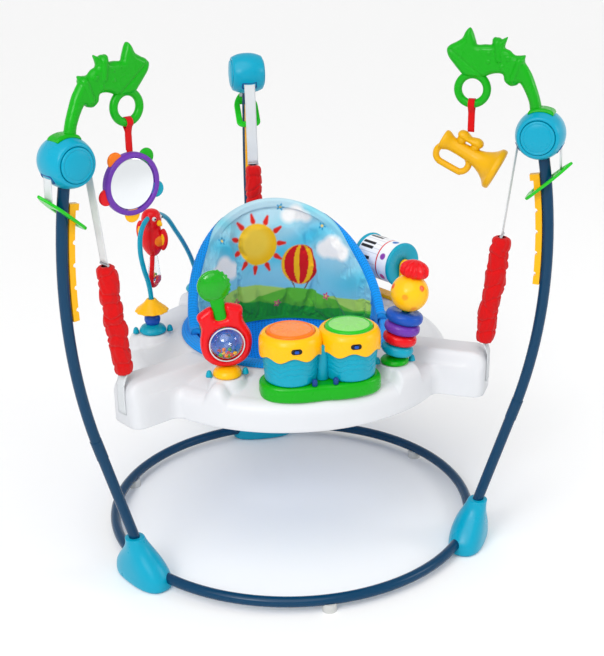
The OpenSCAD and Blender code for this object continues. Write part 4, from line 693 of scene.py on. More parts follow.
for name, deg in posts.items():
    top_at = anchor + hang * sleeve_long
    ends = dict(start=row(at_post(deg, top_at[0], 0, top_at[1])).tolist(),
                end=row(at_post(deg, anchor[0], 0, anchor[1])).tolist())
    s = np.linspace(0, 1, coil_turns * 20 + 1)
    coil = about_spring(deg, coil_low + (coil_high - coil_low) * s, coil_r + 0 * s,
                        2 * np.pi * coil_turns * s)
    spring = sweep("spring_" + name, coil, wire_r, 8, at_post(deg, hang[0], 0, hang[1]))
    dress(spring, steel, None, "spring_steel", "coil_springs")
    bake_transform(spring)
    s, a = np.meshgrid(np.linspace(0.2, sleeve_long, 180), around(88), indexing="ij")
    chance = np.random.default_rng(deg)
    r = sleeve_r + 0.5 * np.sin(9 * a + 2.2 * np.sin(s / 11 + math.radians(deg)))
    for k in range(14):  # soft folds
        c, lean = 8 + 180 * (k + chance.uniform(0.1, 0.9)) / 14, chance.uniform(0, 2 * np.pi)
        width = chance.uniform(9, 17)
        spread = (a - lean + np.pi) % (2 * np.pi) - np.pi
        r = r + chance.uniform(1.6, 3.6) * np.exp(-((s - c - 5 * spread) / width) ** 2 - (spread / 1.1) ** 2)
    for k in range(8):  # sharp creases
        c, lean = 10 + 176 * (k + chance.uniform(0.2, 0.8)) / 8, chance.uniform(0, 2 * np.pi)
        crease = s - c - chance.uniform(4, 9) * np.sin(a - lean) - 2 * np.sin(3 * a + lean)
        r = r - chance.uniform(1.6, 2.6) * np.exp(-(crease / chance.uniform(2.2, 3.6)) ** 2)
    left = s - sleeve_long
    draw_in = 0.16 * np.exp(-s / 4) + 0.2 * np.exp(left / 4) + 0.38 * np.exp(left / 1.6)
    r = np.maximum(r, sleeve_least) * (1 - draw_in)
    sleeve = grid("sleeve_" + name, about_spring(deg, s, r, a), loop_v=True)
    skin = sleeve.modifiers.new("cloth", "SOLIDIFY")
    skin.thickness, skin.offset = 0.0008, -1
    dress(sleeve, red_cloth, None, "red_cloth", "spring_sleeves")
    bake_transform(sleeve)
    tab = ribbon("anchor_tab_" + name, spline(tab_line, 6), strap_wide, tab_thick, 7, partial(at_post, deg))
    dress(tab, webbing, "tray", "webbing", "spring_anchors")

# Tray. One moulded plastic shell: a round deck that falls to a rolled rim, three arms that run out to the
# springs with soft fillets, low seats for the toys, and a hollow skirt underneath.
tray_c = np.array([0.0, 13.0])
tray_r, tray_bore, tray_wall, rim_roll, fillet = 298, 180.5, 3.5, 24, 18
deck_z, deck_fall, seat_z, bar_top, skirt_z = 388, 20, 390, 395, 316
bar_mid, bar_half, bar_side, bar_round = 187, 167, 18, 20
flat_r, slope_long, bar_ease, bar_start, seat_ease = 204, 70, (1, 15), (203, 214), (26, 35)
toy_seats = np.array([(-143, -188), (150, -196), (-250, 40), (219, 131), (-141.08, 244.84)])
white = plastic("white_plastic", "#d8dade", rough=0.34, vary=0.03)


def arm_gap(p):
    """Distance outside the nearest tray arm, negative inside: a bar with round corners along each post."""
    gaps = []
    for deg in posts.values():
        a = math.radians(deg)
        r = p[..., 0] * math.cos(a) + p[..., 1] * math.sin(a)
        t = p[..., 1] * math.cos(a) - p[..., 0] * math.sin(a)
        x, y = np.abs(r - bar_mid) - bar_half, np.abs(t) - bar_side
        outside = np.hypot(np.maximum(x, 0), np.maximum(y, 0))
        gaps.append(outside + np.minimum(np.maximum(x, y), 0) - bar_round)
    return np.min(gaps, axis=0)


def deck(p):
    """Height of the tray's top: flat round the seat, sloping to the rim, eased up on arms and toy seats."""
    rho = np.linalg.norm(p - tray_c, axis=-1)
    z = deck_z - deck_fall * np.clip((rho - flat_r) / slope_long, 0, 1)
    z = z + (bar_top - z) * smoothstep(*bar_ease, -arm_gap(p)) * smoothstep(*bar_start, rho)
    for spot in toy_seats:
        z = z + np.maximum(seat_z - z, 0) * (1 - smoothstep(*seat_ease, np.linalg.norm(p - spot, axis=-1)))
    return z


ray = np.column_stack([np.cos(around(720)), np.sin(around(720))])
reach = np.linspace(270, 400, 521)[:, None]
round_gap, bar_gap = reach - tray_r, arm_gap(tray_c + reach[..., None] * ray)
blend = np.maximum(fillet - np.abs(round_gap - bar_gap), 0) / fillet
gap = np.minimum(round_gap, bar_gap) - blend ** 2 * fillet / 4
edge_r = reach[np.argmax(gap > 0, axis=0) - 1, 0]
shelf = edge_r - rim_roll
inner_roll = rim_roll - tray_wall


def across_deck(share):
    """Radius and height of the deck at a share of the way from the bore to the rolled rim."""
    rho = tray_bore + (shelf - tray_bore) * share
    return rho, deck(tray_c + rho[:, None] * ray)


section = [across_deck(share) for share in np.linspace(0, 1, 40)]
lip_z = section[-1][1]
section += [(shelf + rim_roll * math.sin(turn), lip_z - rim_roll * (1 - math.cos(turn)))
            for turn in np.radians(np.linspace(10, 90, 9))]
section += [(edge_r, lip_z - rim_roll + (skirt_z - lip_z + rim_roll) * share)
            for share in np.linspace(0.2, 1, 5)]
section += [(edge_r - inset, skirt_z - below + 0 * edge_r)
            for inset, below in ((0.6, 1.6), (1.8, 2), (3.0, 1.6), (tray_wall, 0))]
section.append((edge_r - tray_wall, lip_z - rim_roll - 2))
section += [(shelf + inner_roll * math.sin(turn), lip_z - rim_roll + inner_roll * math.cos(turn))
            for turn in np.radians(np.linspace(75, 0, 6))]
section += [(rho, z - tray_wall) for rho, z in (across_deck(share) for share in np.linspace(0.85, 0, 8))]
rings, heights = (np.array(values)[..., None] for values in zip(*section))
tray = grid("tray", np.concatenate([tray_c + rings * ray, heights], -1), loop_u=True, loop_v=True)
dress(tray, white, "tray", "white_plastic", "tray_shell")

# Seat ring. The moulded ring that turns on the deck and carries the cloth: its flange lies on the deck, and
# its neck hangs in the tray's bore and keeps it in place.
seat_c = (0, 13, 0)
ring_line = rounded([(173.3, 377.6), (178.9, 377.6), (178.9, 388.35), (197.9, 388.35), (197.9, 391),
                     (192, 394.4), (186, 395.2), (174.5, 395.2), (173, 393.5), (173, 378.2),
                     (173.3, 377.6)], 2.2)
dress(revolve("turning_ring", ring_line, seat_c, count=180), white, "seat", "white_plastic", "seat_ring")

# Seat bucket. A bag of blue mesh cloth, hung from the ring by a cover that is drawn over its flange. It has
# a flat floor with two leg openings, and each opening is bound with a round hem.
bag_line = spline([(172.2, 389), (171.6, 372), (170.3, 340), (169, 310), (166.8, 280), (160, 262), (146, 247),
                   (130, 238), (112, 233.2), (90, 232), (60, 232), (30, 232), (0.05, 232)], 6)
cover_line = rounded([(171.9, 376), (172.4, 392), (174.5, 396.2), (186, 396.6), (193.5, 395.6),
                      (198.4, 392.4), (198.9, 388.7)], 3)
leg_holes = np.array([(-58, -9), (58, -9)])
leg_cut, hem_mid, hem_r, hem_z, floor_top = 43, 44, 2.6, 232.4, 240
# Its holes are painted at about half the blue, as painted shade for the openings.
mesh_blue = cloth("mesh_blue", "#0595f2", dark=0.52, holes=0.0048, depth=0.0006)
binding = cloth("blue_binding", "#0872c8", pitch=0.0012)
a = around(144)[None, :]
r = bag_line[:, :1] * (1 + 0.006 * np.sin(12 * a) * smoothstep(230, 330, bag_line[:, 1:]))
z = bag_line[:, 1:] + 0.5 * np.sin(9 * a + bag_line[:, :1] / 12) * smoothstep(60, 120, bag_line[:, :1])
bag = grid("seat_bucket", np.stack([r * np.cos(a), seat_c[1] + r * np.sin(a), z], -1), loop_v=True,
           caps=(False, True))
shell = bmesh.new()
shell.from_mesh(bag.data)
middles = np.array([f.calc_center_median() for f in shell.faces])
far = np.linalg.norm(middles[:, None, :2] - row(np.column_stack([leg_holes, (0, 0)]))[:, :2], axis=-1).min(1)
gone = (far < leg_cut / 1000) & (middles[:, 2] < floor_top / 1000)
bmesh.ops.delete(shell, geom=[f for f, out in zip(shell.faces, gone) if out], context="FACES")
shell.to_mesh(bag.data)
shell.free()
dress(bag, mesh_blue, "seat", "blue_cloth", "seat_cloth")
for k, (x, y) in enumerate(leg_holes):
    a = 2 * np.pi * np.arange(73) / 72
    hem_line = np.column_stack([x + hem_mid * np.cos(a), y + hem_mid * np.sin(a), hem_z + 0 * a])
    hem = sweep("leg_hem_%d" % k, hem_line, hem_r, 12)
    dress(hem, binding, "seat", "blue_cloth", "seat_cloth")
cover = revolve("seat_cover", spline(cover_line, 2), seat_c, count=180, ends="open")
dress(cover, mesh_blue, "seat", "blue_cloth", "seat_cloth")

# Seat back. A padded, arched back that wraps half round the seat and hangs into it, sewn to the ring's
# cover. The printed panel in front is held by seams and blown up a little by a cloth simulation; blue mesh
# cloth lies behind, at the sides and over the rim.
back_wide, back_high, back_least = math.radians(97), 192, 11.2
panel_z, panel_rise, ring_top, rim_r = 342, 48, 396.9, 4.5
outer_mid, inner_mid, neck_mid = 184.2, 168.2, 169.5
side_seam, end_seam, print_edge = math.radians(76), math.radians(92), math.radians(82)
print_r, print_low = 178, 395.7
wrap_off, wrap_middle, wrap_side = 0.8, 45, 74  # the last two are rows of the finer grid, where the wrap ends
turn = np.linspace(-back_wide, back_wide, 121)
height, wide = np.maximum(back_least, back_high * np.cos(0.93 * turn)), np.abs(turn)
panel_low = panel_z + panel_rise * smoothstep(math.radians(58), math.radians(92), wide)
rim_z = ring_top + height - rim_r
# Each row runs once along the back: radius, height, and 0 outside, 1 on the rim, 2 on the panel, 3 below it.
rows = [(outer_mid + np.sin(np.pi * k), ring_top + 0.5 + (rim_z - ring_top - 0.5) * k, 0)
        for k in np.linspace(0, 1, 16)]
rows += [((outer_mid + inner_mid) / 2 + 8 * math.cos(k), rim_z + rim_r * math.sin(k), 1)
         for k in np.linspace(0, np.pi, 9)[1:-1]]
for k in np.linspace(1, 0, 48):
    z = panel_low + (rim_z - panel_low) * k
    crown = 4.5 * (1 - (2 * k - 1) ** 4) * smoothstep(10, 60, height) + 1.2 * smoothstep(396, 380, z)
    rows.append((inner_mid - crown, z, 2 if k < 0.95 else 1))
rows += [(167.6, panel_low - 2.2, 3), (169.2, panel_low - 0.5, 3)]
rows += [(neck_mid, panel_low + (ring_top - 0.1 - panel_low) * k, 3) for k in np.linspace(0, 1, 8)[1:]]
pad_r, pad_z, part = (np.array([values[k] + 0 * turn for values in rows]).T for k in range(3))
facts = np.stack([np.repeat(turn[:, None], len(rows), 1), pad_z, part], -1)
pad = np.stack([-pad_r * np.sin(turn)[:, None], seat_c[1] + pad_r * np.cos(turn)[:, None], pad_z], -1)


def inflate(points, free, pressure, grow, frames, limit):
    """Cloth simulation of a closed grid: free points blow out while the others stay sewn; no point moves past
    limit."""
    maker = grid("pad_maker", points, loop_v=True, caps=True)
    held = maker.vertex_groups.new(name="sewn")
    held.add(np.flatnonzero(~free.ravel()).tolist(), 1.0, "REPLACE")
    sim = maker.modifiers.new("cloth", "CLOTH")
    sim.settings.vertex_group_mass = "sewn"
    sim.settings.use_pressure, sim.settings.uniform_pressure_force = True, pressure
    sim.settings.shrink_min = -grow
    sim.settings.mass, sim.settings.bending_stiffness = 0.25, 0.35
    sim.settings.effector_weights.gravity = 0
    sim.point_cache.frame_start, sim.point_cache.frame_end = 1, frames
    for k in range(1, frames + 1):
        bpy.context.scene.frame_set(k)
    mesh = maker.evaluated_get(bpy.context.evaluated_depsgraph_get()).to_mesh()
    co = np.zeros(3 * len(mesh.vertices))
    mesh.vertices.foreach_get("co", co)
    move = co.reshape(points.shape) * 1000 + (0, origin_y, 0) - points
    bpy.data.objects.remove(maker)
    bpy.context.scene.frame_set(1)
    far = np.maximum(np.linalg.norm(move, axis=-1, keepdims=True), 1e-9)
    return points + move * np.minimum(1, limit / far)


def finer(values, steps=3):
    """The closed grid with more points: Catmull-Rom along both ways."""
    n, m, c = values.shape
    more = spline(values.reshape(n, -1), steps).reshape(-1, m, c).transpose(1, 0, 2)
    return spline(more.reshape(m, -1), steps, loop=True).reshape(m * steps, -1, c).transpose(1, 0, 2)


sewn = (wide > end_seam) | (np.abs(wide - side_seam) < 0.012)
free = (part == 2) & ~sewn[:, None] & (pad_z > panel_low[:, None] + 6)
pad = inflate(pad, free, pressure=3.0, grow=0.05, frames=20, limit=9.0)
pad, facts = finer(pad), finer(facts)
seat_back = grid("padded_back", pad, loop_v=True, caps=True)
across, up = (-print_r * facts[..., 0]).ravel(), (facts[..., 1] - print_low).ravel()


def soft_edge(inside, soft):
    """A mask of a distance inside an edge: 0 outside, 1 inside, with a slope as wide as soft."""
    return np.clip(inside / soft + 0.5, 0, 1)[:, None]


def dab(x, y, r, soft=2.0):
    """1 inside a disc on the printed panel, 0 outside."""
    return soft_edge(r - np.hypot(across - x, up - y), soft)


def ink(base, mask, code):
    """Lays a colour over the print where the mask is 1."""
    return base * (1 - mask) + mask * tint(code)[:3]


def colour_points(obj, colours):
    """Stores one colour per point, which the printed materials read."""
    layer = obj.data.color_attributes.new("print", "FLOAT_COLOR", "POINT")
    cover = np.column_stack([colours, np.ones(len(colours))]).astype(np.float32)
    layer.data.foreach_set("color", cover.ravel())


# The print: sky with bands of cloud, a sun with rays, a striped balloon, three hills and small flowers.
picture = ink(tint("#62cdf0")[:3], np.clip((up + 50) / 240, 0, 1)[:, None], "#c4e8f6")
for lift, wave, size, code in ((58, 47, 24, "#4fd0ee"), (112, 58, 26, "#22c4ea"), (150, 39, 15, "#7edcf0")):
    band = np.exp(-((up - lift - 24 * np.sin(across / wave + lift)) / size) ** 2)
    band = np.clip(band * (0.62 + 0.38 * np.sin(across / 31 + lift)), 0, 1)
    picture = ink(picture, band[:, None] * 0.85, code)
for x, y, r in ((-150, 66, 19), (-128, 74, 24), (-104, 65, 17), (118, 96, 16), (138, 104, 22), (160, 96, 15),
                (34, 158, 14), (52, 164, 17), (70, 157, 12)):
    picture = ink(picture, dab(x, y, r, 9), "#ffffff")
sun_x, sun_y = -32, 106
for a in around(11):
    for step in (46, 50, 54, 58):
        tip = dab(sun_x + step * math.cos(a), sun_y + step * math.sin(a), 5.4 - (step - 46) * 0.22)
        picture = ink(picture, tip, "#ea2a1c")
picture = ink(picture, dab(sun_x, sun_y, 41), "#fdc613")
picture = ink(picture, dab(sun_x - 4, sun_y + 4, 30, 16) * 0.6, "#ffe15a")
balloon_x, balloon_y, balloon_r = 58, 62, 40.0
balloon = dab(balloon_x, balloon_y, balloon_r)
picture = ink(picture, balloon, "#d8101e")
girth = np.sqrt(np.maximum(balloon_r ** 2 - (up - balloon_y) ** 2, 9.0))
stripe = np.abs(((across - balloon_x) / girth * 2.5 + 40.5) % 2 - 1) > 0.62
picture = ink(picture, balloon * stripe[:, None], "#fbc01c")
aside = np.abs(across - balloon_x)
ropes = (up < 30) & (up > 6) & (np.abs(aside - 7 - (up - 6) * 0.55) < 1.4)
picture = ink(picture, ropes[:, None], "#7d4a22")
picture = ink(picture, ((aside < 9) & (up > -8) & (up < 7))[:, None], "#b5722f")
for base_y, wave, code in ((14, 60, "#b4e06a"), (2, 44, "#63c43c"), (-14, 70, "#1fa83a")):
    picture = ink(picture, soft_edge(base_y + 12 * np.sin(across / wave + base_y * 0.2) - up, 2), code)
for x, y in ((-122, 128), (20, 176), (108, 140), (-86, -8), (8, -18), (124, 2)):
    a = np.arctan2(up - y, across - x)
    flower = soft_edge(6.2 + 2.4 * np.cos(5 * a) - np.hypot(across - x, up - y), 1.6)
    picture = ink(picture, flower, "#e23a86" if y < 60 else "#1f9fd4")
    picture = ink(picture, dab(x, y, 2.8), "#ffe066")
plain = (facts[..., 2] > 2.5) | (np.abs(facts[..., 0]) > print_edge)
picture = ink(picture, plain.ravel()[:, None], "#0a90e8")
colour_points(seat_back, picture)
printed_cloth = cloth("printed_cloth", "#ffffff", pitch=0.0012, printed=True, dark=0.88, depth=0.0002)
dress(seat_back, printed_cloth, "seat", "print_cloth", "seat_back")
# The wrap follows the pad, just outside it, from its foot to its top and over the rim at the sides.
lean_out = np.cross(np.gradient(pad, axis=0), np.gradient(pad, axis=1))
lean_out /= np.linalg.norm(lean_out, axis=-1, keepdims=True)
outwards = np.sign(lean_out[len(lean_out) // 2, 20] @ (0, 1, 0))
skin = pad[:, :wrap_side + 1] + wrap_off * lean_out[:, :wrap_side + 1] * outwards
steps = np.linalg.norm(np.diff(skin, axis=1), axis=-1)
reach = np.concatenate([np.zeros((len(skin), 1)), np.cumsum(steps, 1)], 1)
over = smoothstep(math.radians(26), math.radians(66), np.abs(facts[:, 0, 0]))
ends = reach[:, wrap_middle] + over * (reach[:, wrap_side] - reach[:, wrap_middle])
wrap = grid("seat_wrap", [
    np.column_stack([np.interp(np.linspace(0, end, 48), far, line[:, c]) for c in range(3)])
    for end, far, line in zip(ends, reach, skin)])
dress(wrap, mesh_blue, "seat", "blue_cloth", "seat_back")

# Drum toy. Two joined plastic drums screwed to a green foot that clips over the tray's edge: ribbed teal
# sides, a yellow collar with a wavy hem, a soft pad with raised petals on each, a dark switch plate in front
# with a sliding knob, and dark pegs at the foot.
drum_y, foot_z = -231.0, 394.0
drum_foot_x, drum_foot_wide, drum_foot_long, drum_foot_thick = 10, 104.5, 49.5, 30
ring_clear = 199.8
drum_line = np.vstack([
    [(38, foot_z + 0.4), (42.6, foot_z + 0.7), (44.4, foot_z + 2.4)],
    np.column_stack([np.linspace(45.1, 50.6, 56), np.linspace(foot_z + 5, foot_z + 66, 56)])])
collar_line = rounded([(51.4, 446.5), (53.9, 446.5), (54, 462), (53.4, 469), (50, 476.5), (46, 479.6),
                       (42.6, 480), (41.4, 479), (41.4, 468)], 2.6)
dome_r = np.linspace(0.01, 36, 40)
dome_z = np.interp(dome_r, (0.01, 14, 28, 36), (486, 485.7, 484.3, 482.6))
pad_line = np.vstack([np.column_stack([dome_r, dome_z]),
                      rounded([(38.3, 481.4), (40.9, 479.8), (41, 475.2), (0.01, 475)], 1.0, 3)])
rim_line = rounded([(34.6, 481), (34.8, 483.9), (38.2, 483.4), (40.4, 481.6), (40.9, 478), (40.9, 476)], 1.2)
peg_line = rounded([(4.6, foot_z + 0.4), (4.8, foot_z + 8), (3.6, foot_z + 11.4), (0.01, foot_z + 12.2)], 1.6)
peg_y = drum_y - 41.85
switch_y, switch_z, switch_half = drum_y - 54.2, 462.5, 4.6
knob_half, knob_r, knob_off = 1.4, 2.5, 1.6
web_half, web_r, web_high, web_z = 14, 12, 64, foot_z + 32.4
teal = plastic("teal_plastic", "#029fbb", rough=0.27)
yellow = plastic("yellow_plastic", "#ffbc06", rough=0.26)
orange = plastic("orange_plastic", "#f57a12", rough=0.26)
blue = plastic("blue_plastic", "#1450b5", rough=0.25)
black = plastic("black_plastic", "#17181b", rough=0.4)
drums = (  # side, middle, slot and colour of the pad, material of its rim, place of the peg
    ("left", -40.0, "orange_pad", "#fb9450", orange, -8.0),
    ("right", 60.0, "lime_pad", "#93dd7a", leaf_green, 28.0))


def lie(y, z):
    """A carrier for a plate that lies level, with its middle at y and z."""
    return lambda u, v, w: np.column_stack([u, y + v, z + w])


def ribs(r, h, a):
    """Wavy grooves round the drum: cut where a sine of the height, shifted by waves of the angle, is high."""
    wave = np.sin((h - foot_z + 3.2 * np.sin(5 * a) + 1.4 * np.sin(11 * a)) * 2 * np.pi / 9.5)
    band = smoothstep(foot_z + 12, foot_z + 18, h) * smoothstep(foot_z + 58, foot_z + 50, h)
    return r - 0.9 * smoothstep(0.55, 0.95, wave) * band * (r > 30), h


def petals(r, h, a):
    """Nine low petals pressed up in a ring on the pad's top, where a cosine of the angle is high."""
    petal = smoothstep(0.1, 0.7, np.cos(9 * a)) * smoothstep(12, 17, r) * smoothstep(33, 28, r)
    return r, h + 0.9 * petal * (h > 480)


def wavy_hem(r, h, a):
    """The collar's lower edge runs in waves: two sines of the angle that fade out upwards."""
    low = 1 - smoothstep(447, 464, h)
    return r, h + low * (3.6 * np.sin(7 * a + 0.6) + 1.2 * np.sin(3 * a) - 2.0)


a = around(160)
base_x = drum_foot_x + drum_foot_wide * squared(np.cos(a), 2 / 2.7)
waist = 1 - 0.05 * np.exp(-((base_x - drum_foot_x) / 22) ** 2)
base_y = drum_y + drum_foot_long * squared(np.sin(a), 2 / 2.7) * waist
push = np.maximum(ring_clear / np.hypot(base_x, base_y - seat_c[1]), 1)
base_line = np.column_stack([base_x * push, seat_c[1] + (base_y - seat_c[1]) * push])
drum_foot = plate("drum_foot", [base_line], drum_foot_thick, 8, lie(0, foot_z - drum_foot_thick / 2))
dress(drum_foot, green, "tray", "green_plastic", "drum_base")
web_line = pill((drum_foot_x, -web_half), (drum_foot_x, web_half), web_r)
web = plate("drum_web", [web_line], web_high, 1.5, lie(drum_y, web_z))
dress(web, teal, "tray", "teal_plastic", "drum_shell")
switch_line = pill((-switch_half, 0), (switch_half, 0), switch_half)
knob_line = pill((-knob_half, 0), (knob_half, 0), knob_r)
for name, x, slot, code, rim_mat, peg_x in drums:
    spot = (x, drum_y, 0)
    side = revolve("drum_side_" + name, drum_line, spot, count=180, shape=ribs, ends="join")
    dress(side, teal, "tray", "teal_plastic", "drum_shell")
    collar = revolve("drum_collar_" + name, collar_line, spot, count=160, shape=wavy_hem, ends="join")
    dress(collar, yellow, "tray", "yellow_plastic", "drum_top")
    pad_mat = plastic(slot, code, rough=0.38, through=0.35, grain=0.5, pit=0.0004)
    body = "drum_pad_" + name
    dress(revolve("pad_top_" + name, pad_line, spot, count=144, shape=petals), pad_mat, body, slot, body)
    dress(revolve("pad_rim_" + name, rim_line, spot, count=96, ends="join"), rim_mat, body, slot, body)

    def face_front(u, v, w):
        """Onto the front of the collar, facing the viewer: bent round it by a parabola."""
        return np.column_stack([x + u, switch_y + u * u / 108 - w, switch_z + v])

    switch = plate("switch_plate_" + name, [switch_line], 2.2, 0.7, face_front)
    dress(switch, black, "tray", "yellow_plastic", "drum_top")
    knob = plate("switch_knob_" + name, [knob_line], 2.4, 0.8, lambda u, v, w: face_front(u, v, w + knob_off))
    dress(knob, blue, "drum_switch_" + name, "navy_plastic", "drum_switch_" + name)
    peg = revolve("drum_peg_" + name, peg_line, (peg_x, peg_y, 0), count=32)
    dress(peg, navy, "tray", "navy_plastic", "toy_clips")
keep(black, "batteries", "speaker")
keep(green, "battery_door")

# Toy tabs. Small moulded teal tabs, two to a toy, that clip its foot to its seat on the tray. They are
# snapped in from above and stand a little proud of the deck.
tab_off = 31.3
tab_line = rounded([(6, 390.3), (5.6, 394), (3.6, 400.5), (0.01, 402.2)], 2)
for k, (x, y) in enumerate(toy_seats[:3]):
    for way, word in pair:
        tab = revolve("toy_tab_%d_%s" % (k, word), tab_line, (x + way * tab_off, y, 0), count=28)
        dress(tab, teal, "tray", "navy_plastic", "toy_clips")

# Guitar rattle. A thick red plastic body that swivels on a yellow dome foot, a green neck that leans and
# ends in a studded head, and a clear ball of beads that spins in the body on a pin.
gx, gy = toy_seats[0]
guitar_z, globe_z, lean = 407.4, 450.42, math.radians(10)
dome_line = rounded([(22.5, 390.3), (24.6, 392.5), (25, 396), (22, 402), (15, 406), (6, 407), (0.01, 407)], 2)
half_body = np.array([(0, 0), (14, 1.6), (28, 8), (39, 20), (43.8, 38), (43.4, 54), (39.5, 66), (36.6, 76),
                      (37, 87), (39.4, 96), (37, 103), (30, 107), (21, 111), (13, 112.5), (9.5, 106),
                      (9, 90)])
body_half, body_roll, globe_hole = 12, 10, 28.5
bezel_mid, bezel_off, bezel_r = 29.6, 11.6, 1.1
neck_low, neck_high, neck_thick = 29, 92, 6.2
head_off, head_r, stud_mid, stud_r = 104, 27, 26.4, 3.1
head_rim = rounded([(24.2, -4.6), (27.4, -4.2), (28, 0), (27.4, 4.2), (24.2, 4.6)], 2)
globe_r, bead_r, bead_reach = 27.9, 3.4, 22.8
red = plastic("red_plastic", "#e30a17", rough=0.24)
clear_green = plastic("clear_green", "#14a814", rough=0.1, through=0.45, coat=0.3)
bead_mats = [red, yellow, blue, green, orange]


def clear(name, code, rough=0.03):
    """Clear plastic, as the thin hollow shell that it is: it hardly bends light, and its coat mirrors the
    studio. A soft noise gives faint moulding ripples."""
    mat, tree, shader, make = nodes_of(name)
    place = make("ShaderNodeTexCoord").outputs["Object"]
    ripple = make("ShaderNodeTexNoise", Vector=place, Scale=70.0, Detail=1.0)
    bump = make("ShaderNodeBump", Height=ripple.outputs["Fac"], Strength=0.06, Distance=0.0006)
    tree.links.new(bump.outputs["Normal"], shader.inputs["Normal"])
    shader.inputs["Base Color"].default_value = tint(code)
    shader.inputs["Transmission Weight"].default_value = 1.0
    shader.inputs["Roughness"].default_value = rough
    shader.inputs["IOR"].default_value = 1.05
    shader.inputs["Coat Weight"].default_value = 1.0
    shader.inputs["Coat IOR"].default_value = 1.8
    return mat


def face_guitar(x, y, z):
    """Upright, facing the front; y is the height over the foot."""
    return np.column_stack([gx + x, gy - z, guitar_z + y])


guitar_foot = revolve("guitar_foot", dome_line, (gx, gy, 0), count=56)
dress(guitar_foot, yellow, "tray", "yellow_plastic", "guitar_base")
body_line = spline(np.vstack([half_body, (half_body * (-1, 1))[::-1][:-1]]), 5, loop=True)
globe_up = globe_z - guitar_z
bend = lean * smoothstep(40, 76, body_line[:, 1])
x, y = (body_line - (0, globe_up)).T
body_line = np.column_stack([x * np.cos(bend) - y * np.sin(bend),
                             globe_up + x * np.sin(bend) + y * np.cos(bend)])
a = around(80)
hole_line = np.column_stack([globe_hole * np.cos(a), globe_up + globe_hole * np.sin(a)])
guitar = puff("guitar_shell", [body_line, hole_line], body_half, body_roll, face_guitar)
dress(guitar, red, "guitar", "red_plastic", "guitar_body")
globe_c = np.array([gx, gy, globe_z])
a = 2 * np.pi * np.arange(73) / 72
for way, word in pair:
    circle = np.column_stack([bezel_mid * np.cos(a), way * bezel_off + 0 * a, bezel_mid * np.sin(a)])
    bezel = sweep("guitar_bezel_" + word, globe_c + circle, bezel_r, 10, (0, 1, 0))
    dress(bezel, white, "guitar", "red_plastic", "guitar_body")
neck_way = np.array([-math.sin(lean), 0, math.cos(lean)])
neck_x = np.array([math.cos(lean), 0, math.sin(lean)])
s = np.linspace(neck_low, neck_high, 24)[:, None, None]
neck_wide = np.interp(s, (neck_low, 60, neck_high), (9.6, 10.6, 12.8))
a = around(40)[:, None]
neck = (globe_c + s * neck_way + neck_wide * squared(np.cos(a), 0.5) * neck_x
        + neck_thick * squared(np.sin(a), 0.5) * np.array([0, 1, 0]))
dress(grid("guitar_handle", neck, loop_v=True, caps=True), green, "guitar", "green_plastic", "guitar_neck")
head_c = globe_c + head_off * neck_way
pieces = [ball("guitar_head", head_c, head_r, 64, (0, 1, 0), 0.42),
          revolve("guitar_head_rim", head_rim, head_c, (0, 1, 0), 72, ends="join")]
for k in range(8):
    a = math.radians(-62 + 18 * k)
    out = math.cos(a) * neck_x + math.sin(a) * neck_way
    pieces.append(ball("guitar_stud_%d" % k, head_c + stud_mid * out, stud_r, 20, out))
for piece in pieces:
    dress(piece, clear_green, "guitar", "green_plastic", "guitar_neck")
window = ball("bead_window", globe_c, globe_r, 72, (1, 0, 0))
dress(window, clear("clear_plastic", "#f4fbff"), "bead_globe", "clear_plastic", "bead_globe")
beads = [(0, 0)] + [(math.radians(19 * ring), a) for ring in (1, 2) for a in around(3 + 3 * ring)]
for k, (e, a) in enumerate(beads):
    out = np.array([math.sin(e) * math.cos(a), math.sin(e) * math.sin(a), math.cos(e)])
    bead = ball("bead_%02d" % k, globe_c - bead_reach * out, bead_r, 20)
    dress(bead, bead_mats[k % 5], "bead_globe", "bead_plastic", "globe_beads")

# Ring stack. Four plump plastic rings that turn on a leaning post, a plain yellow ball with painted dots
# above them, and a red ribbed knot on top. The post stands in a green foot clipped to the tray.
stack = np.append(toy_seats[1], seat_z)
stack_way = np.array([math.sin(math.radians(11)), 0, math.cos(math.radians(11))])
stack_dome = rounded([(22.5, 0.3), (24.6, 2.2), (25, 5), (22, 9), (14, 12), (6.2, 12.6)], 2)
rod_line = [(6, 4), (6, 128), (4.5, 129), (0.01, 129)]
ring_low, ring_step, ring_out, ring_less, ring_half = 16, 20, 28, 8, 9.8
ring_bore, bore_edge, bore_half = 6.3, 7, 9.2
ball_off, ball_r, dot_r = 129, 32.8, 0.16
ball_dots = ((-120, 5), (-60, 28), (0, -8), (60, 24), (120, -4), (180, 26), (-90, -38), (30, -42), (150, -40))
knot_line = rounded([(11, 28), (19, 30), (24.5, 37), (23, 47), (15, 55), (5, 58.5), (0.01, 59)], 5, 5)
purple = plastic("purple_plastic", "#6b35a8", rough=0.26)
stack_rings = (("teal", teal, 0.93), ("red", red, 0.99), ("purple", purple, 1.05), ("blue", blue, 1.1))


def knot_ribs(r, h, a):
    """Ten ribs that run up the knot: its radius swells with a cosine of the angle."""
    return r * (1 + 0.09 * np.cos(10 * a) * smoothstep(0.5, 6, r)), h


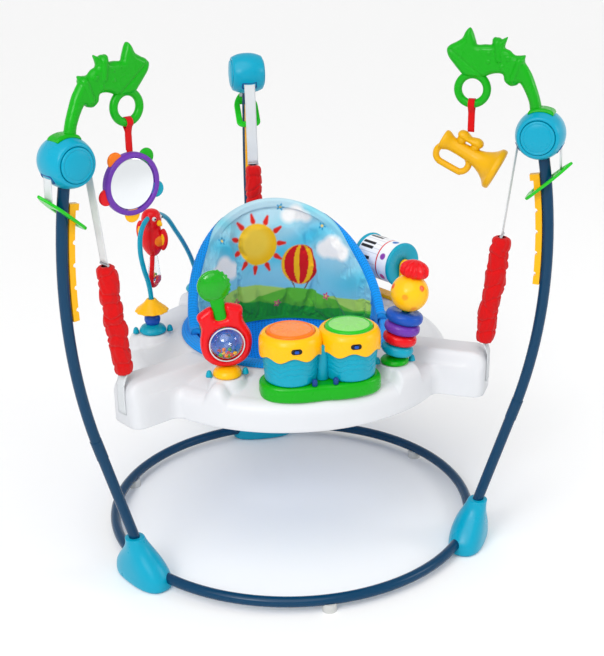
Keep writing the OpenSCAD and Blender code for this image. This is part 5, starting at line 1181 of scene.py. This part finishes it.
dress(revolve("stack_foot", stack_dome, stack, count=56), green, "tray", "green_plastic", "stack_post")
dress(revolve("stack_rod", rod_line, stack, stack_way, 32), green, "tray", "green_plastic", "stack_post")
a = np.radians(np.linspace(-90, 90, 17))
for k, (name, mat, share) in enumerate(stack_rings):
    bulge = np.column_stack([ring_out * share - ring_less + ring_half * np.cos(a),
                             ring_half * squared(np.sin(a), 0.85)])
    line = np.vstack([[(ring_bore, -bore_half), (bore_edge, -ring_half)], bulge,
                      [(bore_edge, ring_half), (ring_bore, bore_half)]])
    ring_c = stack + stack_way * (ring_low + ring_step * (k + 0.5))
    ring = revolve("soft_ring_" + name, line, ring_c, stack_way, 72, ends="join")
    dress(ring, mat, "stack_ring_" + name, name + "_plastic", "stack_ring_" + name)
head_c = stack + stack_way * ball_off
head = ball("stack_ball", head_c, ball_r, 96, stack_way)
co = np.zeros(3 * len(head.data.vertices))
head.data.vertices.foreach_get("co", co)
out = (co.reshape(-1, 3) - row(head_c)) / (ball_r / 1000)
paint = np.repeat(tint("#fcbf14")[None, :3], len(out), 0)
for k, (az, el) in enumerate(np.radians(ball_dots)):
    way = np.array([math.cos(az) * math.cos(el), math.sin(az) * math.cos(el), math.sin(el)])
    away = np.arccos(np.clip(out @ way, -1, 1))
    paint = ink(paint, soft_edge(np.degrees(dot_r - away), 2), "#f0581d" if k % 2 else "#f59a1a")
colour_points(head, paint)
painted = plastic("painted_ball", "#ffffff", rough=0.24, printed=True)
dress(head, painted, "stack_head", "yellow_plastic", "stack_head")
knot = revolve("stack_knot", knot_line, head_c, stack_way, 120, knot_ribs)
dress(knot, red, "stack_head", "red_plastic", "stack_head")

# Roller. A plastic drum, printed with keys and dots, that spins on an axle between two teal rings. The axle
# ends in two yellow stands with red caps, and the stands' sole is fixed to the tray.
roller_c = np.append(toy_seats[3], 466.0)
roller_way = np.array([math.cos(math.radians(-61)), math.sin(math.radians(-61)), 0])
roller_side = np.array([-roller_way[1], roller_way[0], 0])
up_way = np.array([0, 0, 1])
roller_r, roller_half = 41.0, 41
rim_mid, rim_half, rim_bore, rim_off = 39, 4.5, 4.1, 45.5
stand_off, stand_top, stand_foot, stand_low = 53.8, 12.8, 15, -75.5
cap_off, cap_r = 57, 6.5
sole_x, sole_y, sole_z = 57, 13, -72.2
s = np.linspace(-roller_half, roller_half, 110)
drum = revolve("key_roller", np.column_stack([np.full(110, roller_r), s]), roller_c, roller_way, 200)
across, up = (values.ravel() for values in np.meshgrid(s, around(200), indexing="ij"))
key = up / (2 * np.pi) * 24
paint = np.repeat(tint("#f4f5f8")[None, :3], len(up), 0)
paint = ink(paint, ((np.abs(key % 1 - 0.5) > 0.46) & (across < 12))[:, None] * 0.55, "#9aa0ac")
dark_step = np.isin(np.floor(key + 0.5).astype(int) % 7, (0, 1, 3, 4, 5))
dark_key = (np.abs((key + 0.5) % 1 - 0.5) < 0.3) & dark_step & (across < -6) & (across > -38)
paint = ink(paint, dark_key[:, None], "#1b1d22")
paint = ink(paint, ((across > 13) & (across < 16))[:, None], "#d8121f")
for k, code in enumerate(("#e23a3a", "#f59a1a", "#2f9c32", "#1f6fc4", "#8a3fa8", "#e23a86")):
    d = np.hypot(across - 28, roller_r * ((up - k * np.pi / 3 + np.pi) % (2 * np.pi) - np.pi))
    paint = ink(paint, soft_edge(6.5 - d, 1.5), code)
colour_points(drum, paint)
printed_drum = plastic("printed_drum", "#ffffff", rough=0.3, printed=True, vary=0.03)
dress(drum, printed_drum, "roller", "white_plastic", "roller_drum")


def carried(base, x_way, y_way, z_way):
    """A carrier for an outline: its x, y and thickness run along three directions from base."""
    return lambda x, y, z: base + x[:, None] * x_way + y[:, None] * y_way + z[:, None] * z_way


a = np.radians(np.linspace(-90, 90, 15))
bulge = np.column_stack([rim_mid + rim_half * np.cos(a), rim_half * np.sin(a)])
rim_line = np.vstack([[(rim_bore, -rim_half)], bulge, [(rim_bore, rim_half)]])
t = np.linspace(0, np.pi, 17)
stand_line = np.vstack([np.column_stack([stand_top * np.cos(t), stand_top * np.sin(t)]),
                        [(-stand_foot, stand_low), (stand_foot, stand_low)]])
sole_line = rounded([(sole_x, 0), (sole_x, sole_y), (-sole_x, sole_y), (-sole_x, -sole_y), (sole_x, -sole_y),
                     (sole_x, 0)], 6)[:-1]
for way, word in pair:
    ring_c = roller_c + way * rim_off * roller_way
    ring = revolve("roller_ring_" + word, rim_line, ring_c, roller_way, 96, ends="join")
    dress(ring, teal, "roller", "teal_plastic", "roller_rings")
for way, word in pair:
    upright = carried(roller_c + way * stand_off * roller_way, roller_side, up_way, roller_way)
    stand = plate("roller_stand_" + word, [stand_line], 6.8, 2, upright)
    dress(stand, yellow, "tray", "yellow_plastic", "roller_bracket")
    cap = ball("roller_cap_" + word, roller_c + way * cap_off * roller_way, cap_r, 32, roller_way, 0.4)
    dress(cap, red, "tray", "yellow_plastic", "roller_bracket")
flat_way = carried(roller_c + sole_z * up_way, roller_way, roller_side, up_way)
sole = plate("roller_sole", [sole_line], 7, 2.2, flat_way)
dress(sole, yellow, "tray", "yellow_plastic", "roller_bracket")

# Arch. A bent plastic tube that rises from a teal foot, leans forward and comes down into a second foot
# behind, both fixed to the tray. A yellow cone spins on its front leg, above a blue ball.
arch_at = np.append(toy_seats[2], 392.0)
arch_way = np.array([math.cos(math.radians(62)), math.sin(math.radians(62)), 0])
arch_wide, arch_high, arch_r = 232, 216, 4.5
arch_ball_z, arch_ball_r = 24, 14.9
arch_shares = np.array([
    (0, 0), (0, 0.12), (0, 0.3), (-0.035, 0.45), (-0.105, 0.6), (-0.15, 0.76), (-0.13, 0.9),
    (-0.04, 0.978), (0.09, 1), (0.22, 0.978), (0.4, 0.88), (0.56, 0.72), (0.72, 0.55), (0.86, 0.37),
    (0.955, 0.2), (1, 0.06), (1, 0)])
arch_dome = rounded([(22.5, 0.3), (24.6, 2.5), (25, 6), (21, 12), (12, 16.5), (4.9, 17.2)], 2)
cone_line = rounded([(5.4, 455.5), (8.6, 455.6), (10.4, 453), (15, 447.5), (23, 440.5), (30, 434.6),
                     (30.8, 432.6), (29.4, 432.3), (22, 438), (6, 451)], 1.6)


def flute(r, h, a):
    """Twelve shallow flutes on the cone's skirt: its radius swells with a cosine of the angle."""
    return r * (1 + 0.025 * np.cos(12 * a) * smoothstep(12, 28, r)), h


arch_x, arch_z = spline(arch_shares * (arch_wide, arch_high), 8).T[:, :, None]
arch_path = arch_at + arch_x * arch_way + arch_z * up_way
arch = sweep("arch_wire", arch_path, arch_r, 20, np.cross(arch_way, up_way))
dress(arch, sky, "tray", "teal_plastic", "arch_tube")
for k, (x, y) in enumerate((toy_seats[2], toy_seats[4])):
    foot = revolve("arch_foot_%d" % k, arch_dome, (x, y, seat_z), count=56)
    dress(foot, teal, "tray", "teal_plastic", "arch_base")
bead = ball("arch_ball", arch_at + arch_ball_z * up_way, arch_ball_r, 48)
dress(bead, blue, "tray", "teal_plastic", "arch_base")
cone = revolve("cone_hat", cone_line, arch_at * (1, 1, 0), count=96, shape=flute, ends="join")
dress(cone, yellow, "cone", "yellow_plastic", "cone_spinner")

# Hanging bird. A plain red plastic bird that swings from the arch: round head and body in one, yellow beak
# and wings with yellow faces, and for a tail a clear teardrop with beads in it, half framed in red.
perch_share = 0.09
wing_off, wing_drop, wing_lift, wing_half, wing_roll = 17, 34, 6, 5.5, 6
face_share, face_shift, face_half, face_roll = 0.62, (2.2, 0), 7, 4
eye_out, eye_drop, eye_r, pupil_out, pupil_r = 16.4, 2, 4.2, 3.1, 2
beak_out, beak_drop, bib_out, bib_drop, bib_r = 15.4, 10, 9, 45, 14.6
tail_thick, tail_roll, hoop_r, tail_bead_r, tail_bead_z = 10, 9, 4.4, 2.2, -116
perch = arch_at + perch_share * arch_wide * arch_way + arch_high * up_way
bird_out = np.array([-arch_way[1], arch_way[0], 0])
front = unit(np.array([0.7, -0.71, 0]))
flank = np.array([-front[1], front[0], 0])
bird_line = rounded([(0.01, 13), (8, 12.4), (15, 7.5), (18.6, -3), (18, -15), (15.6, -23), (19, -34),
                     (20.9, -46), (18.8, -59), (12, -70), (7, -75), (0.01, -76)], 6, 6)
wing_line = spline([(0, 14), (7, 17), (12, 9), (13.6, -2), (12, -13), (8, -21), (2.5, -24), (-2, -16),
                    (-3, 0)], 5, loop=True)
beak_line = rounded([(5.6, 0), (5, 5), (2.8, 9), (0.01, 11)], 2)
tail_half = np.array([(0, -72), (4.5, -76), (7, -88), (11, -102), (14.6, -114), (15, -123), (10.6, -130),
                      (0, -132.4)])
tail_line = spline(np.vstack([tail_half, (tail_half * (-1, 1))[::-1][1:-1]]), 5, loop=True)
hoop = tail_line[(tail_line[:, 0] < 1.5) | (tail_line[:, 1] < -118)]
hoop = hoop[np.argsort(np.arctan2(hoop[:, 0] - 4, hoop[:, 1] + 108) % (2 * np.pi))]
in_arch = carried(perch, arch_way, up_way, bird_out)
bird = [(revolve("bird_body", bird_line, perch, count=64), red)]
for way, word in pair:
    wing_at = perch + way * wing_off * bird_out + (wing_lift * way - wing_drop) * up_way
    spread = carried(wing_at, way * bird_out, up_way, arch_way)
    wing_face = wing_line * face_share + face_shift
    bird.append((puff("bird_wing_" + word, [wing_line], wing_half, wing_roll, spread, 2), red))
    bird.append((puff("bird_wing_face_" + word, [wing_face], face_half, face_roll, spread, 2), yellow))
    eye = perch + eye_out * unit(front + 0.6 * way * flank) - eye_drop * up_way
    pupil = eye + pupil_out * unit(front + 0.3 * way * flank)
    bird.append((ball("bird_eye_" + word, eye, eye_r, 24, front), white))
    bird.append((ball("bird_pupil_" + word, pupil, pupil_r, 20, front), black))
beak_at = perch + beak_out * front - beak_drop * up_way
bird.append((revolve("bird_beak", beak_line, beak_at, unit(front - 0.5 * up_way), 36), yellow))
bird.append((ball("bird_bib", perch + bib_out * front - bib_drop * up_way, bib_r, 40, front, 0.95), orange))
clear_tail = clear("clear_tail", "#f3fafc", 0.06)
bird.append((puff("bird_tail", [tail_line], tail_thick, tail_roll, in_arch, 2), clear_tail))
hoop_path = in_arch(hoop[:, 0], hoop[:, 1], 0 * hoop[:, 0])
bird.append((sweep("bird_tail_frame", hoop_path, hoop_r, 16, bird_out), red))
for k in range(9):  # beads in a spiral, each 2.4 radians on from the one before
    a, r = k * 2.4, math.sqrt(k)
    at = perch + 2.2 * r * math.cos(a) * arch_way + (2.6 * r * math.sin(a) + tail_bead_z) * up_way
    bird.append((ball("tail_bead_%d" % k, at, tail_bead_r, 16), bead_mats[k % 5]))
for piece, mat in bird:
    dress(piece, mat, "bird", "red_plastic", "bird_toy")

# Toy straps. Red webbing, looped round each arm ring and sewn to itself below it, so that the hanging toy
# swings. The two ends run down side by side into the toy.
swing_z, loop_r = 829.784, 8.4
tail_x, tail_top, tail_low = 1.0, -14.5, -47.6
band_wide, band_thick = 11, 1.3
a = np.radians(np.linspace(-62, 242, 40))
loop = loop_r * np.column_stack([np.cos(a), np.sin(a)])
tail = np.column_stack([np.full(12, tail_x), np.linspace(tail_low, tail_top, 12)])
line = spline(np.vstack([tail, loop[::3], (tail * (-1, 1))[::-1]])[::2], 5)
for toy, name in (("tambourine", "left"), ("trumpet", "right")):
    deg = posts[name]
    band = ribbon(toy + "_band", line, band_wide, band_thick, 5,
                  lambda t, w, z: at_post(deg, ring_at[0] + w, t, swing_z + z))
    dress(band, red_cloth, toy, "red_cloth", toy + "_strap")

# Tambourine. A purple plastic rim snapped round a mirror of metallised film on a disc, with five coloured
# jingles let into its edge. It hangs from the left arm on its strap.
deg = posts["left"]
tamb_z, tamb_way = 729.734, at_post(deg, 0, -1, 0)
tamb_c = at_post(deg, ring_at[0], 0, tamb_z)
hoop_line = rounded([(43, 7.6), (43, -7.6), (48.8, -8), (51.6, -5), (52, 0), (51.6, 5), (48.8, 8),
                     (43, 7.6)], 1.6)
mirror_line = rounded([(0.01, 4), (40.5, 4), (42.6, 3.2), (42.6, -3.2), (40.5, -4), (0.01, -4)], 0.8, 2)
jingle_mid, jingle_r, jingle_half = 50.5, 10.4, 3.5
jingles = ((green, 128), (teal, 200), (yellow, 272), (red, 344), (orange, 56))
mirror = plastic("mirror_film", "#eef2f5", rough=0.06, metal=1.0, grain=0.02)
rim = revolve("tambourine_hoop", hoop_line, tamb_c, tamb_way, 120)
dress(rim, purple, "tambourine", "purple_plastic", "tambourine_rim")
disc = revolve("mirror_disc", mirror_line, tamb_c, tamb_way, 96)
dress(disc, mirror, "tambourine", "mirror_film", "tambourine_mirror")
t = np.radians(np.linspace(-90, 90, 13))
edge_line = np.column_stack([jingle_r + jingle_half * np.cos(t), jingle_half * np.sin(t)])
jingle_line = np.vstack([[(0.01, -jingle_half)], edge_line, [(0.01, jingle_half)]])
for k, (mat, where) in enumerate(jingles):
    a = math.radians(where)
    spot = at_post(deg, ring_at[0] + jingle_mid * math.cos(a), 0, tamb_z + jingle_mid * math.sin(a))
    jingle = revolve("jingle_%d" % k, jingle_line, spot, tamb_way, 48)
    dress(jingle, mat, "tambourine", "green_plastic", "tambourine_lobes")

# Trumpet. A yellow toy horn of hollow plastic: flared bell, mouthpiece, a valve block above and a finger
# loop below, moulded in one. It hangs from the right arm on its strap, with the bell down.
deg = posts["right"]
tilt, along = math.radians(27), at_post(deg, 0, 1, 0)
horn_way = at_post(deg, math.cos(tilt), 0, -math.sin(tilt))
horn_up = at_post(deg, math.sin(tilt), 0, math.cos(tilt))
strap_end, block_top, strap_half, strap_gap = 782.034, 30.95, 5.5, 0.3
horn_z = strap_end - block_top / math.cos(tilt) - strap_half * math.tan(tilt) - strap_gap
horn_c = at_post(deg, ring_at[0], 0, horn_z)
horn_line = rounded([(0.01, -54), (15.5, -54), (17.4, -50.5), (16.6, -45), (12.6, -38), (11.6, -28),
                     (12.4, -8), (13.4, 6), (16, 18), (21, 29), (27, 37.5), (32.5, 42), (35.6, 44.6),
                     (36, 50), (34.4, 53.6), (30, 54), (23, 47), (13, 34), (6, 22), (0.01, 20)], 4, 4)
stem_line = rounded([(8.2, 4), (8.2, 22), (8.2, 24)], 1)
valve_line = spline([(-31, 17), (-35, 22.5), (-32, 29), (-24, 31.5), (-16, 29.4), (-11, 27.6), (-6, 29.4),
                     (2, 31.5), (10, 29), (13, 22.5), (9, 17), (0, 15.6), (-11, 16.4), (-22, 15.6)], 5,
                    loop=True)
loop_x, loop_y, loop_end, loop_bar = -22.7, -21.6, 15, 5.6
horn_yellow = plastic("horn_yellow", "#e4ab06", rough=0.3)
in_horn = carried(horn_c, horn_way, horn_up, along)
a = np.linspace(0, 2 * np.pi, 97)
loop = np.column_stack([loop_x + loop_end * (np.sign(np.cos(a)) + np.cos(a)), loop_y + loop_end * np.sin(a)])
loop = spline(loop[::4], 5)
pieces = [revolve("trumpet_horn", horn_line, horn_c, horn_way, 96)]
pieces += [revolve("trumpet_valve_%d" % k, stem_line, horn_c + shift * horn_way, horn_up, 40)
           for k, shift in enumerate((-24.2, 2.2))]
pieces.append(puff("trumpet_valves", [valve_line], 11, 8, in_horn))
pieces.append(sweep("trumpet_loop", in_horn(loop[:, 0], loop[:, 1], 0 * loop[:, 0]), loop_bar, 18, along))
for piece in pieces:
    dress(piece, horn_yellow, "trumpet", "amber_plastic", "trumpet")
